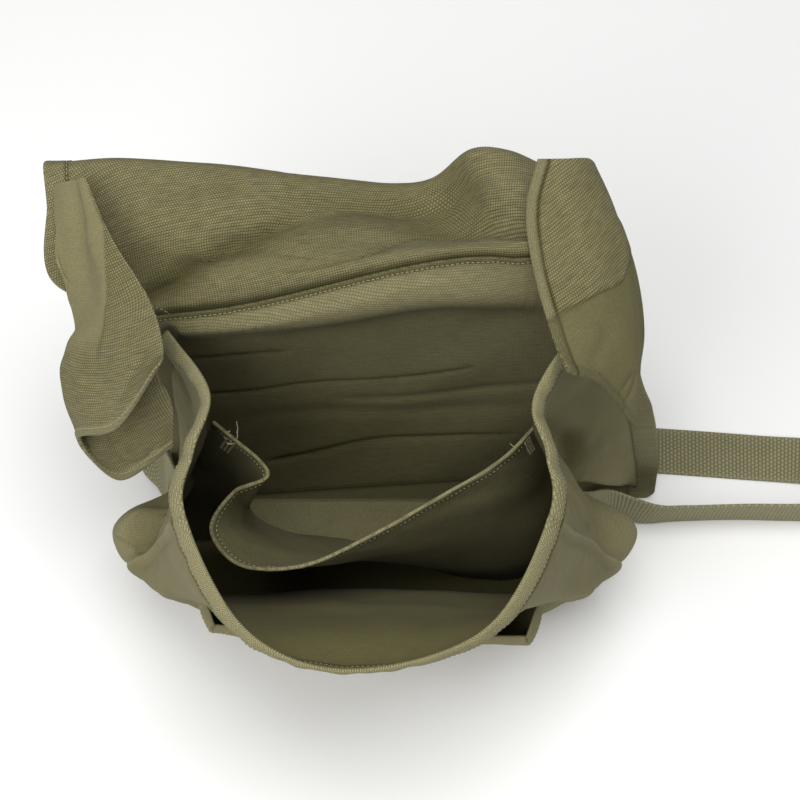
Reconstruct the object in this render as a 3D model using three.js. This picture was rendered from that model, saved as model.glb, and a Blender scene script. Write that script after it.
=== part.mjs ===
// Canvas map case, standing open with its flap thrown back over the top.
// Millimetres, +Z up, +Y towards the back panel, origin on the underside of the bottom panel.
import * as THREE from "three";

// Driving dimensions
const CLOTH = 1.6; // canvas wall
const GAP = 0.5; // clear space at a sewn edge
const FLANGE = 9; // back panel standing out past the gusset seams
const TURNED = 0.6; // a turned edge stands this much proud of each face of the flap
const WEB = { width: 32, thick: 2.2 }; // shoulder strap webbing

// Turned hem round the mouth: its first levels up the wall, and how far it stands off the cloth's middle.
const HEM = { start: 0.961, full: 0.967, round: 0.99, outward: 2.6, inward: 1.0, edgeOut: 1.7, edgeIn: 0.3 };

// Front pocket: outline and level parameters of its edges on the front panel, depth at the mouth, and
// the shares of its width and height over which the depth builds up.
const FRONT_POCKET = { left: 0.36, right: 0.635, foot: 0.025, mouth: 0.49, depth: 24, side: 0.07, fill: 0.7, footShare: 0.12 };

// Back panel and flap in one run of cross-rows, from the floor up over the top and down behind.
// left and right are the side edges, y and z the middle, the tilts are right minus left. The cloth
// sags by dip at its hollow, stands up by lift right of it, and droops at its left and right edges.
const BACK_ROWS = [
  { name: "floor", z: 0.4, y: 40, left: -146, right: 152, tiltY: 0, tiltZ: 0, dip: 0, lift: 0, droopL: 0, droopR: 0 },
  { name: "foot", z: 45, y: 42, left: -147, right: 150, tiltY: 0, tiltZ: 0, dip: 0, lift: 0, droopL: 0, droopR: 0 },
  { name: "low", z: 88, y: 42, left: -147, right: 144, tiltY: 0, tiltZ: 0, dip: 0, lift: 0, droopL: 0, droopR: 0 },
  { name: "waist", z: 112, y: 41, left: -146, right: 139, tiltY: 1, tiltZ: 2, dip: 0, lift: 0, droopL: 0, droopR: 0 },
  { name: "middle", z: 138, y: 40, left: -146, right: 134, tiltY: 2, tiltZ: 4, dip: 0, lift: 0, droopL: 0, droopR: 0 },
  { name: "high", z: 180, y: 38, left: -144, right: 128, tiltY: 6, tiltZ: 10, dip: 0, lift: 0, droopL: 0, droopR: 0 },
  { name: "seam", z: 250, y: 35, left: -142, right: 112, tiltY: 18, tiltZ: 22, dip: -24, lift: 18, droopL: 0, droopR: 14 },
  { name: "rise", z: 272, y: 58, left: -195, right: 110, tiltY: 14, tiltZ: 14, dip: 4, lift: 2, droopL: 30, droopR: 18 },
  { name: "crest", z: 280, y: 84, left: -196, right: 100, tiltY: 8, tiltZ: 0, dip: 14, lift: 8, droopL: 14, droopR: 24 },
  { name: "fall", z: 268, y: 110, left: -198, right: 96, tiltY: 0, tiltZ: -4, dip: 18, lift: 8, droopL: 4, droopR: 20 },
  { name: "hang", z: 160, y: 124, left: -186, right: 108, tiltY: 0, tiltZ: 0, dip: 4, lift: 4, droopL: 0, droopR: 0 },
  { name: "end", z: 5, y: 126, left: -170, right: 126, tiltY: 0, tiltZ: 0, dip: 0, lift: 0, droopL: 0, droopR: 0 },
];
// Where the hollow, the rise right of it and the drooping edges lie, as shares of the width.
const HOLLOW = { from: 0.12, to: 0.66, riseFrom: 0.69, riseTo: 0.78, droopLeftTo: 0.24, droopRightFrom: 0.84 };

// Front and gussets in level rows, from the floor to the mouth. centre is the middle of the front,
// fold, side and corner are half widths with their own y, quarter lies between corner and front,
// frontX is the front's lean to one side and rim the rise of the mouth's rim about its level.
const BODY_ROWS = [
  { z: 0.4, rim: 0, centre: -18, fold: 124, foldY: 8, side: 110, sideY: -22, corner: 92, cornerY: -42, quarter: 56, quarterY: -36, frontX: 0, frontY: -30 },
  { z: 45, rim: 0, centre: -20, fold: 126, foldY: 10, side: 124, sideY: -24, corner: 105, cornerY: -57, quarter: 68, quarterY: -50, frontX: 0, frontY: -46 },
  { z: 88, rim: 0, centre: -20, fold: 118, foldY: 6, side: 153, sideY: -28, corner: 120, cornerY: -69, quarter: 78, quarterY: -69, frontX: 0, frontY: -66 },
  { z: 112, rim: 0, centre: -19, fold: 110, foldY: 4, side: 127, sideY: -30, corner: 124, cornerY: -77, quarter: 79, quarterY: -82, frontX: 0, frontY: -80 },
  { z: 138, rim: 0, centre: -18, fold: 104, foldY: 0, side: 114, sideY: -33, corner: 118, cornerY: -81, quarter: 78, quarterY: -98, frontX: -2, frontY: -99 },
  { z: 180, rim: 0, centre: -18, fold: 93, foldY: -6, side: 101, sideY: -40, corner: 106, cornerY: -84, quarter: 69, quarterY: -124, frontX: -5, frontY: -132 },
  { z: 220, rim: 16, centre: -18, fold: 85, foldY: -18, side: 91, sideY: -52, corner: 93, cornerY: -84, quarter: 60, quarterY: -141, frontX: -8, frontY: -160 },
];
// Share of a row's rim at each outline point: the mouth is highest at the folds and lowest in front.
const RIM_SHARE = { fold: 0.95, side: 0.6, corner: 0.1, quarter: -0.8, front: -1.25 };
// Outline parameters of the front corners and of the gussets' inward folds, counted from the back left corner.
const OUTLINE = { leftFold: 0.1, leftCorner: 0.3, rightCorner: 0.7, rightFold: 0.9 };
const SEAM_TRIM = 0.0009; // half the gap between two panels, as outline parameter

// Rim of the divider, from one gusset fold to the other.
const DIVIDER_RIM = [
  { x: -110, y: -8, z: 183 },
  { x: -82, y: -33, z: 186 },
  { x: -103, y: -66, z: 181 },
  { x: -90, y: -92, z: 176 },
  { x: -58, y: -95, z: 173 },
  { x: -20, y: -82, z: 173 },
  { x: 18, y: -64, z: 177 },
  { x: 50, y: -40, z: 181 },
  { x: 74, y: -8, z: 183 },
];
// Levels of the divider's side edges on the gussets, y of its foot, and the share of its width that follows the gussets.
const DIVIDER = { foot: 0.025, top: 0.842, footY: -14, follow: 0.2 };

// Ears: each row runs from the flap, behind and round a fold to the front and the free edge. It starts at
// edge, a place on the flap (across, along), or at corner, a point where the ear hangs clear of the flap.
const LEFT_EAR_ROWS = [
  { edge: [0.02, 0.755], behind: [-184, 85, 281], fold: [-177, 82, 287], front: [-174, 80, 291], free: [-171, 79, 293] },
  { corner: [-190, 69, 263], behind: [-182, 60, 265], fold: [-171, 55, 269], front: [-167, 47, 281], free: [-155, 44, 286] },
  { corner: [-184, 43, 251], behind: [-182, 34, 239], fold: [-172, 26, 247], front: [-156, 16, 266], free: [-135, 14, 276] },
  { corner: [-134, 2, 208], behind: [-172, -2, 196], fold: [-188, 4, 218], front: [-156, -11, 244], free: [-128, -6, 262] },
  { corner: [-131, -14, 168], behind: [-163, -26, 150], fold: [-181, -20, 186], front: [-155, -29, 216], free: [-130, -9, 250] },
];
const RIGHT_EAR_ROWS = [
  { edge: [0.975, 0.782], behind: [98, 92, 284], fold: [94, 86, 300], front: [81, 80, 308], free: [69, 82, 306] },
  { edge: [0.975, 0.72], behind: [107, 68, 281], fold: [104, 58, 288], front: [88, 52, 297], free: [68, 59, 296] },
  { corner: [114, 54, 274], behind: [116, 46, 271], fold: [112, 34, 270], front: [96, 27, 279], free: [73, 34, 282] },
  { corner: [127, 26, 228], behind: [124, 13, 222], fold: [121, 9, 238], front: [102, 5, 254], free: [80, 3, 262] },
  { corner: [122, 4, 188], behind: [123, -8, 186], fold: [121, -15, 196], front: [101, -12, 232], free: [83, -14, 248] },
];

// Shoulder strap: its sewn ends on the gussets (outline and level parameters, mirrored on the right), and its run
// from the left one round behind the bag and through a turn on the floor to the right one. face is its outer side.
const STRAP_SEWN = [
  { s: 0.077, level: 0.25 },
  { s: 0.066, level: 0.235 },
];
const STRAP_ROWS = [
  { at: [-150, 31, 46], face: [-1, 0, 0] },
  { at: [-157, 47, 31], face: [-1, 0.1, 0] },
  { at: [-161, 64, 21], face: [-0.7, 0.5, 0.4] },
  { at: [-144, 79, 10], face: [-0.2, 0.5, 0.9] },
  { at: [-112, 82, 3.4], face: [0, 0.1, 1] },
  { at: [-60, 81, 1.6], face: [0, 0, 1] },
  { at: [40, 78, 1.6], face: [0, 0, 1] },
  { at: [140, 75, 1.6], face: [0, 0, 1] },
  { at: [230, 68, 1.6], face: [0, 0, 1] },
  { at: [268, 64, 3.6], face: [0, 0.1, 1] },
  { at: [292, 55, 9.5], face: [0.4, 0.3, 0.85] },
  { at: [299, 41, 16], face: [0.9, 0, 0.4] },
  { at: [288, 27, 17.6], face: [0.5, -0.9, 0] },
  { at: [262, 21, 17.2], face: [0.05, -1, -0.15] },
  { at: [210, 21, 17.2], face: [0, -0.98, -0.2] },
  { at: [172, 19, 19], face: [0.05, -0.98, -0.15] },
  { at: [144, 13, 36], face: [0.3, -0.95, -0.05] },
];
const STRAP_STEP = 3.8; // middle of a sewn strap end off the middle of the gusset cloth
const STRAP_HALF_LEVEL = 0.062; // half the strap's width up the gusset, as level parameter

const OLIVE = { colour: 0x6b6647, roughness: 0.92 };
const WEBBING = { colour: 0x6e6a4c, roughness: 0.88 };

const vec = (x, y, z) => new THREE.Vector3(x, y, z);
const mix = (a, b, t) => a + (b - a) * t;
const ramp = (from, to, x) => THREE.MathUtils.smoothstep(x, from, to);
const through = (points) => new THREE.CatmullRomCurve3(points, false, "catmullrom", 0.5);
const steps = (from, to, count) => Array.from({ length: count + 1 }, (_, i) => mix(from, to, i / count));

/** Smooth surface through rows of points: u runs along a row, v from the first row to the last. */
function loft(rows) {
  const curves = rows.map(through);
  const columns = new Map();
  return (u, v) => {
    if (!columns.has(u)) columns.set(u, through(curves.map((curve) => curve.getPoint(u))));
    return columns.get(u).getPoint(v);
  };
}

/** Unit normal of a surface, from small steps along u and v. */
function normalOf(surface, u, v) {
  const step = 1e-3;
  const alongU = surface(Math.min(u + step, 1), v).sub(surface(Math.max(u - step, 0), v));
  const alongV = surface(u, Math.min(v + step, 1)).sub(surface(u, Math.max(v - step, 0)));
  return alongU.cross(alongV).normalize();
}

/** Point at a distance off a surface, along its normal. */
const off = (surface, u, v, reach) => surface(u, v).addScaledVector(normalOf(surface, u, v), reach);

/** Closed solid between two grids of points with the same rows and columns, the first one on the outer side. */
function solidBetween(outer, inner) {
  const rows = outer.length;
  const columns = outer[0].length;
  const at = (side, i, j) => side * rows * columns + j * columns + i;
  const index = [];
  const quad = (a, b, c, d) => index.push(a, b, c, a, c, d);
  for (let j = 0; j < rows - 1; j++)
    for (let i = 0; i < columns - 1; i++) {
      quad(at(0, i, j), at(0, i + 1, j), at(0, i + 1, j + 1), at(0, i, j + 1));
      quad(at(1, i, j), at(1, i, j + 1), at(1, i + 1, j + 1), at(1, i + 1, j));
    }
  for (let i = 0; i < columns - 1; i++) {
    quad(at(0, i + 1, 0), at(0, i, 0), at(1, i, 0), at(1, i + 1, 0));
    quad(at(0, i, rows - 1), at(0, i + 1, rows - 1), at(1, i + 1, rows - 1), at(1, i, rows - 1));
  }
  for (let j = 0; j < rows - 1; j++) {
    quad(at(0, 0, j), at(0, 0, j + 1), at(1, 0, j + 1), at(1, 0, j));
    quad(at(0, columns - 1, j + 1), at(0, columns - 1, j), at(1, columns - 1, j), at(1, columns - 1, j + 1));
  }
  const positions = [...outer.flat(), ...inner.flat()].flatMap((p) => p.toArray());
  const solid = new THREE.BufferGeometry();
  solid.setAttribute("position", new THREE.Float32BufferAttribute(positions, 3));
  solid.setIndex(index);
  return solid;
}

/** Cloth wall on a grid of a surface; wall(u, v) gives how far its faces stand along the normal and against it. */
function clothWall(surface, us, vs, wall = () => [CLOTH / 2, CLOTH / 2]) {
  const outer = vs.map((v) => us.map((u) => off(surface, u, v, wall(u, v)[0])));
  const inner = vs.map((v) => us.map((u) => off(surface, u, v, -wall(u, v)[1])));
  return solidBetween(outer, inner);
}

/** Named mesh of a solid in its own material. */
function piece(name, solid, finish) {
  solid.computeVertexNormals();
  const material = new THREE.MeshStandardMaterial({ color: finish.colour, roughness: finish.roughness, metalness: 0 });
  const mesh = new THREE.Mesh(solid, material);
  mesh.name = name;
  return mesh;
}

// Back panel and flap. The normal of their common surface points to the front.
function backRowPoint(row, u) {
  const rise = (row.dip + row.lift) * ramp(HOLLOW.riseFrom, HOLLOW.riseTo, u);
  const sag = row.dip * ramp(HOLLOW.from, HOLLOW.to, u) - rise;
  const droop = row.droopL * (1 - ramp(0, HOLLOW.droopLeftTo, u)) + row.droopR * ramp(HOLLOW.droopRightFrom, 1, u);
  const z = row.z + row.tiltZ * (u - 0.5) - sag - droop;
  return vec(mix(row.left, row.right, u), row.y + row.tiltY * (u - 0.5), z);
}
const ROW_POINTS = steps(0, 1, 14);
const backSurface = loft(BACK_ROWS.map((row) => ROW_POINTS.map((u) => backRowPoint(row, u))));
const SEAM_LEVEL = BACK_ROWS.findIndex((row) => row.name === "seam") / (BACK_ROWS.length - 1);
const LAP = 0.0145; // the flap reaches this far below the seam, behind the back panel
const FLAP_STEP = CLOTH + GAP;
const flapSurface = (u, v) => off(backSurface, u, mix(SEAM_LEVEL - LAP, 1, v), -FLAP_STEP);
const backColumns = [0, 0.046, 0.054, ...steps(0.12, 0.88, 11), 0.946, 0.954, 1];
const backLevels = [...steps(0, SEAM_LEVEL - LAP, 11), SEAM_LEVEL];
const flapLevels = [0, LAP / (1 - SEAM_LEVEL + LAP), ...steps(0.08, 0.94, 15), 0.955, 1];
const FLAP_HEM = { margin: 0.05, from: 0.12 }; // share of the flap that is turned, and where its side hems start
function flapWall(u, v) {
  const atEdge = u < FLAP_HEM.margin || u > 1 - FLAP_HEM.margin || v > 1 - FLAP_HEM.margin;
  const reach = CLOTH / 2 + (atEdge && v > FLAP_HEM.from ? TURNED : 0);
  return [reach, reach];
}

// Front, gussets and mouth. The normal of their common surface points outwards.
const MOUTH_BACK = 0.965; // share of the way to the seam at which the mouth meets the back panel
function bodyRowPoints(row, level) {
  const t = (level / (BODY_ROWS.length - 1)) * SEAM_LEVEL * MOUTH_BACK;
  const inset = FLANGE / (BACK_ROWS[level].right - BACK_ROWS[level].left);
  const rimZ = (place) => row.z + row.rim * RIM_SHARE[place];
  const half = (sign) => [
    vec(row.centre + sign * row.fold, row.foldY, rimZ("fold")),
    vec(row.centre + sign * row.side, row.sideY, rimZ("side")),
    vec(row.centre + sign * row.corner, row.cornerY, rimZ("corner")),
    vec(row.centre + sign * row.quarter, row.quarterY, rimZ("quarter")),
  ];
  return [
    off(backSurface, inset, t, CLOTH + GAP),
    ...half(-1),
    vec(row.centre + row.frontX, row.frontY, rimZ("front")),
    ...half(1).reverse(),
    off(backSurface, 1 - inset, t, CLOTH + GAP),
  ];
}
const bodySurface = loft(BODY_ROWS.map(bodyRowPoints));
const bodyLevels = [...steps(0, 0.9, 10), HEM.start, HEM.full, HEM.round, 1];
function bodyWall(u, v) {
  if (v === 1) return [HEM.edgeOut, HEM.edgeIn];
  return v >= HEM.full ? [HEM.outward, HEM.inward] : [CLOTH / 2, CLOTH / 2];
}
const panel = (from, to, count) => clothWall(bodySurface, steps(from, to, count), bodyLevels, bodyWall);

/** Bottom panel, flat on the floor inside the foot of the walls. */
function bottomPanel() {
  const inset = CLOTH / 2 + GAP;
  const outline = steps(0, 1, 40).map((s) => {
    const p = off(bodySurface, s, 0, -inset);
    return new THREE.Vector2(p.x, p.y);
  });
  return new THREE.ExtrudeGeometry(new THREE.Shape(outline), { depth: CLOTH, bevelEnabled: false });
}

// Divider: a ruled sheet from its foot to its rim, whose side edges follow the gusset folds
const dividerRim = through(DIVIDER_RIM.map((p) => vec(p.x, p.y, p.z)));
const dividerEdge = (s, v) => off(bodySurface, s, mix(DIVIDER.foot, DIVIDER.top, v), -CLOTH - GAP);
function dividerSurface(u, v) {
  const leftFoot = dividerEdge(OUTLINE.leftFold, 0);
  const rightFoot = dividerEdge(OUTLINE.rightFold, 0);
  const ruled = (w) => vec(mix(leftFoot.x, rightFoot.x, w), DIVIDER.footY, leftFoot.z).lerp(dividerRim.getPoint(w), v);
  const near = (distance) => (1 - Math.min(distance / DIVIDER.follow, 1)) ** 2;
  return ruled(u)
    .addScaledVector(dividerEdge(OUTLINE.leftFold, v).sub(ruled(0)), near(u))
    .addScaledVector(dividerEdge(OUTLINE.rightFold, v).sub(ruled(1)), near(1 - u));
}

/** Front pocket: a sheet that stands off the front panel between its sewn sides and foot. */
function frontPocketSurface(u, v) {
  const s = mix(FRONT_POCKET.left, FRONT_POCKET.right, u);
  const level = mix(FRONT_POCKET.foot, FRONT_POCKET.mouth, v);
  const sideShare = ramp(0, FRONT_POCKET.side, u) * ramp(0, FRONT_POCKET.side, 1 - u);
  const rise = Math.sin((Math.PI / 2) * Math.min(v / FRONT_POCKET.fill, 1));
  const depth = FRONT_POCKET.depth * sideShare * mix(FRONT_POCKET.footShare, 1, rise);
  return off(bodySurface, s, level, CLOTH + GAP + depth);
}
const SIDE = FRONT_POCKET.side;
const pocketColumns = [...steps(0, SIDE, 4), ...steps(0.12, 0.88, 8), ...steps(1 - SIDE, 1, 4)];

/** Surface of an ear through its rows; a sewn row starts on the front face of the flap's turned edge. */
function earSurface(rows) {
  return loft(
    rows.map((row) => {
      const start = row.edge ? off(backSurface, ...row.edge, TURNED) : vec(...row.corner);
      return [start, vec(...row.behind), vec(...row.fold), vec(...row.front), vec(...row.free)];
    }),
  );
}

/** Middle surface of the shoulder strap, through bands of points across its width. */
function strapSurface() {
  const across = [-1, -0.5, 0, 0.5, 1];
  const sewn = (s, level) => across.map((w) => off(bodySurface, s, level + w * STRAP_HALF_LEVEL, STRAP_STEP));
  const leftEnd = STRAP_SEWN.map((p) => sewn(p.s, p.level));
  const rightEnd = STRAP_SEWN.map((p) => sewn(1 - p.s, p.level)).reverse();
  const middle = STRAP_ROWS.map((row) => vec(...row.at));
  const path = [leftEnd.at(-1)[2], ...middle, rightEnd[0][2]];
  const free = STRAP_ROWS.map((row, i) => {
    const along = path[i + 2].clone().sub(path[i]);
    const wide = along.cross(vec(...row.face)).setLength(WEB.width / 2);
    return across.map((w) => middle[i].clone().addScaledVector(wide, w));
  });
  return loft([...leftEnd, ...free, ...rightEnd]);
}
const webWall = () => [WEB.thick / 2, WEB.thick / 2];

const object = new THREE.Group();
object.add(
  piece("bottom_panel", bottomPanel(), OLIVE),
  piece("back_panel", clothWall(backSurface, backColumns, backLevels), OLIVE),
  piece("flap", clothWall(flapSurface, backColumns, flapLevels, flapWall), OLIVE),
  piece("left_gusset", panel(0, OUTLINE.leftCorner - SEAM_TRIM, 12), OLIVE),
  piece("front_panel", panel(OUTLINE.leftCorner + SEAM_TRIM, OUTLINE.rightCorner - SEAM_TRIM, 18), OLIVE),
  piece("right_gusset", panel(OUTLINE.rightCorner + SEAM_TRIM, 1, 12), OLIVE),
  piece("divider", clothWall(dividerSurface, steps(0, 1, 24), steps(0, 1, 10)), OLIVE),
  piece("front_pocket", clothWall(frontPocketSurface, pocketColumns, steps(0, 1, 7)), OLIVE),
  piece("left_ear", clothWall(earSurface(LEFT_EAR_ROWS), steps(0, 1, 14), steps(0, 1, 10)), OLIVE),
  piece("right_ear", clothWall(earSurface(RIGHT_EAR_ROWS), steps(0, 1, 14), steps(0, 1, 10)), OLIVE),
  piece("shoulder_strap", clothWall(strapSurface(), steps(0, 1, 4), steps(0, 1, 72), webWall), WEBBING),
);

export default object;
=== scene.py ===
"""Canvas map case, standing open on a pale floor with its flap thrown back."""

import logging
import math
from dataclasses import dataclass, field
from enum import Enum
from typing import Callable, Sequence

import bpy
import numpy as np
import numpy.typing as npt
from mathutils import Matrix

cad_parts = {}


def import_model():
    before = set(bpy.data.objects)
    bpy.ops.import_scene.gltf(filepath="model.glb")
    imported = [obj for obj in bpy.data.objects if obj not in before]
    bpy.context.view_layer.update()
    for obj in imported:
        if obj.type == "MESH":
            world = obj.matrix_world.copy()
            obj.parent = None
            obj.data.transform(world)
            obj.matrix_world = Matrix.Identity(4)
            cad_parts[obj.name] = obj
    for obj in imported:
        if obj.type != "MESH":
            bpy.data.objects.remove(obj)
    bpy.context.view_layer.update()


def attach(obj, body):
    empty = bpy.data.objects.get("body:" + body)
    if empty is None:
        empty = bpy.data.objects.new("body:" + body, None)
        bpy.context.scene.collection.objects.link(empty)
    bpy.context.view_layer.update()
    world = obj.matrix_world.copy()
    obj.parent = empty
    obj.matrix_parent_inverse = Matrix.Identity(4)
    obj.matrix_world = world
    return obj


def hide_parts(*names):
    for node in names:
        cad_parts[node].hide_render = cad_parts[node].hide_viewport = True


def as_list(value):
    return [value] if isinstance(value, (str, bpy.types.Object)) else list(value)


Array = npt.NDArray[np.float64]
Surface = Callable[[Array, Array], Array]
Socket = bpy.types.NodeSocket
Value = Socket | float
Rgb = tuple[float, float, float]
Point = tuple[float, float, float]
Span = tuple[float, float]
Path = tuple[Span, ...]

log = logging.getLogger("map_case")

MM = 0.001
CLOTH = 1.6
GAP = 0.5
FLANGE = 9.0
SEED = 41
FOLD_STEPS = 48
RUMPLE_WAVES = 10
GATHER_WAVES = 5
HEM_WEAR = 0.3
EDGE_WEAR_REACH = 1.6


class Edge(Enum):
    """The four edges of a sheet: along its first and last column, and its first and last row."""

    LEFT = "left"
    RIGHT = "right"
    FOOT = "foot"
    TOP = "top"


class Face(Enum):
    """The face of a sheet that something lies on: along its normal, or against it."""

    OUTER = 1
    INNER = -1


class Slot(Enum):
    """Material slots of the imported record."""

    CANVAS = "canvas"
    WEBBING = "webbing"


def mix(start: Array | float, end: Array | float, share: Array | float) -> Array:
    """Straight blend: start at share 0, end at share 1."""
    return start + (np.asarray(end) - start) * share


def ramp(start: float, end: float, x: Array | float) -> Array:
    """Smooth step 3t^2 - 2t^3 from 0 at start to 1 at end."""
    t = np.clip((np.asarray(x, float) - start) / (end - start), 0.0, 1.0)
    return t * t * (3.0 - 2.0 * t)


def bell(x: Array, width: float) -> Array:
    """Bell curve exp(-(x/width)^2), which is 1 at 0."""
    return np.exp(-((x / width) ** 2))


def unit(vectors: Array) -> Array:
    """Vectors of the last axis, scaled to length 1."""
    return vectors / np.maximum(np.linalg.norm(vectors, axis=-1, keepdims=True), 1e-12)


def spline_weights(share: Array) -> Array:
    """Weights of the four points round a span of a uniform Catmull-Rom spline.

    Args:
        share: Place within the span, from 0 to 1.

    Returns:
        The cubic weights, four on the last axis.
    """
    f, f2, f3 = share, share**2, share**3
    return np.stack(
        [-0.5 * f + f2 - 0.5 * f3, 1 - 2.5 * f2 + 1.5 * f3, 0.5 * f + 2 * f2 - 1.5 * f3, 0.5 * (f3 - f2)], -1
    )


def spline(points: Array, t: Array) -> Array:
    """Uniform Catmull-Rom spline through points, whose end points are reflected.

    Args:
        points: Points on the axis before the last one; earlier axes match those of t.
        t: Parameter from 0 at the first point to 1 at the last.

    Returns:
        Points on the spline, one for each t.
    """
    first = 2 * points[..., :1, :] - points[..., 1:2, :]
    last = 2 * points[..., -1:, :] - points[..., -2:-1, :]
    padded = np.concatenate([first, points, last], -2)
    count = points.shape[-2]
    place = np.clip(t, 0.0, 1.0) * (count - 1)
    span = np.minimum(place.astype(int), count - 2)
    near = span[..., None] + np.arange(4)
    padded = np.broadcast_to(padded, span.shape + padded.shape[-2:])
    picked = np.take_along_axis(padded, near[..., None], -2)
    return np.einsum("...k,...kc->...c", spline_weights(place - span), picked)


def arc(line: Array) -> Array:
    """Distance of each point of a line from its first one, along the line."""
    return np.concatenate([[0], np.cumsum(np.linalg.norm(np.diff(line, axis=0), axis=1))])


def resample(places: Array, run: Array, values: Array) -> Array:
    """Rows of values at places along a run, by straight blends."""
    return np.stack([np.interp(places, run, column) for column in values.T], -1)


@dataclass
class Loft:
    """Smooth surface through rows of points, bicubic Catmull-Rom: u along a row, v from row to row."""

    rows: Array

    def __call__(self, u: Array, v: Array) -> Array:
        """Point at u and v: each row's spline at u gives a column, and the column's spline is read at v."""
        u, v = np.broadcast_arrays(np.asarray(u, float), np.asarray(v, float))
        column = np.stack([spline(row, u) for row in self.rows], -2)
        return spline(column, v)


def normal_of(surface: Surface, u: Array, v: Array) -> Array:
    """Unit normal of a surface: the cross product of small steps along u and v."""
    step = 1e-3
    along_u = surface(np.minimum(u + step, 1), v) - surface(np.maximum(u - step, 0), v)
    along_v = surface(u, np.minimum(v + step, 1)) - surface(u, np.maximum(v - step, 0))
    return unit(np.cross(along_u, along_v))


def offset(surface: Surface, u: Array, v: Array, reach: Array | float) -> Array:
    """Point at a distance off a surface, along its normal."""
    u, v = np.broadcast_arrays(np.asarray(u, float), np.asarray(v, float))
    return surface(u, v) + normal_of(surface, u, v) * np.asarray(reach)[..., None]


def lines(count: int, length: float, marks: Sequence[float] = (), reach: float = 1.0) -> Array:
    """Parameters of grid lines: even ones, closer ones at both edges, and a pair round each mark.

    Args:
        count: Number of even spans.
        length: Length of the sheet that way, in millimetres.
        marks: Distances in millimetres from the start, or from the end where negative.
        reach: Half of the sheet's thickness, which the closer lines round off.

    Returns:
        Rising parameters from 0 to 1.
    """
    near = np.array([0.12, 0.35, 0.8]) * reach / length
    places = [np.linspace(0, 1, count + 1), near, 1 - near]
    for mark in marks:
        centre = mark / length if mark > 0 else 1 + mark / length
        places.append(centre + np.array([-0.9, -0.35, 0.35, 0.9]) / length)
    merged = np.unique(np.concatenate(places))
    keep = np.concatenate([[True], np.diff(merged) > 0.08 / length])
    keep[-1] = True
    return merged[keep]


@dataclass(frozen=True)
class Hem:
    """A turned edge: its width and how far it stands out past each face of the cloth, in millimetres.

    round swells it like a rolled edge, and cord is the share of the corded look that it takes.
    """

    width: float
    outer: float
    inner: float
    round: float = 0.0
    cord: float = 0.0


@dataclass(frozen=True)
class Crease:
    """A fold along a path in a sheet's own parameters.

    depth is how far the cloth goes in at the path, or out where it is negative, and width the reach of the
    fold to each side, both in millimetres. sharp is 0 for a round fold and 1 for a keen one. step is how far
    the cloth left of the path stands out past the cloth right of it, hold the share of the fold that is kept
    at the path's two ends, and the last field the share of painted shade in the fold.
    """

    path: Path
    depth: float
    width: float
    sharp: float = 0.0
    step: float = 0.0
    hold: float = 0.0
    crease_shade: float = 0.0


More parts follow.
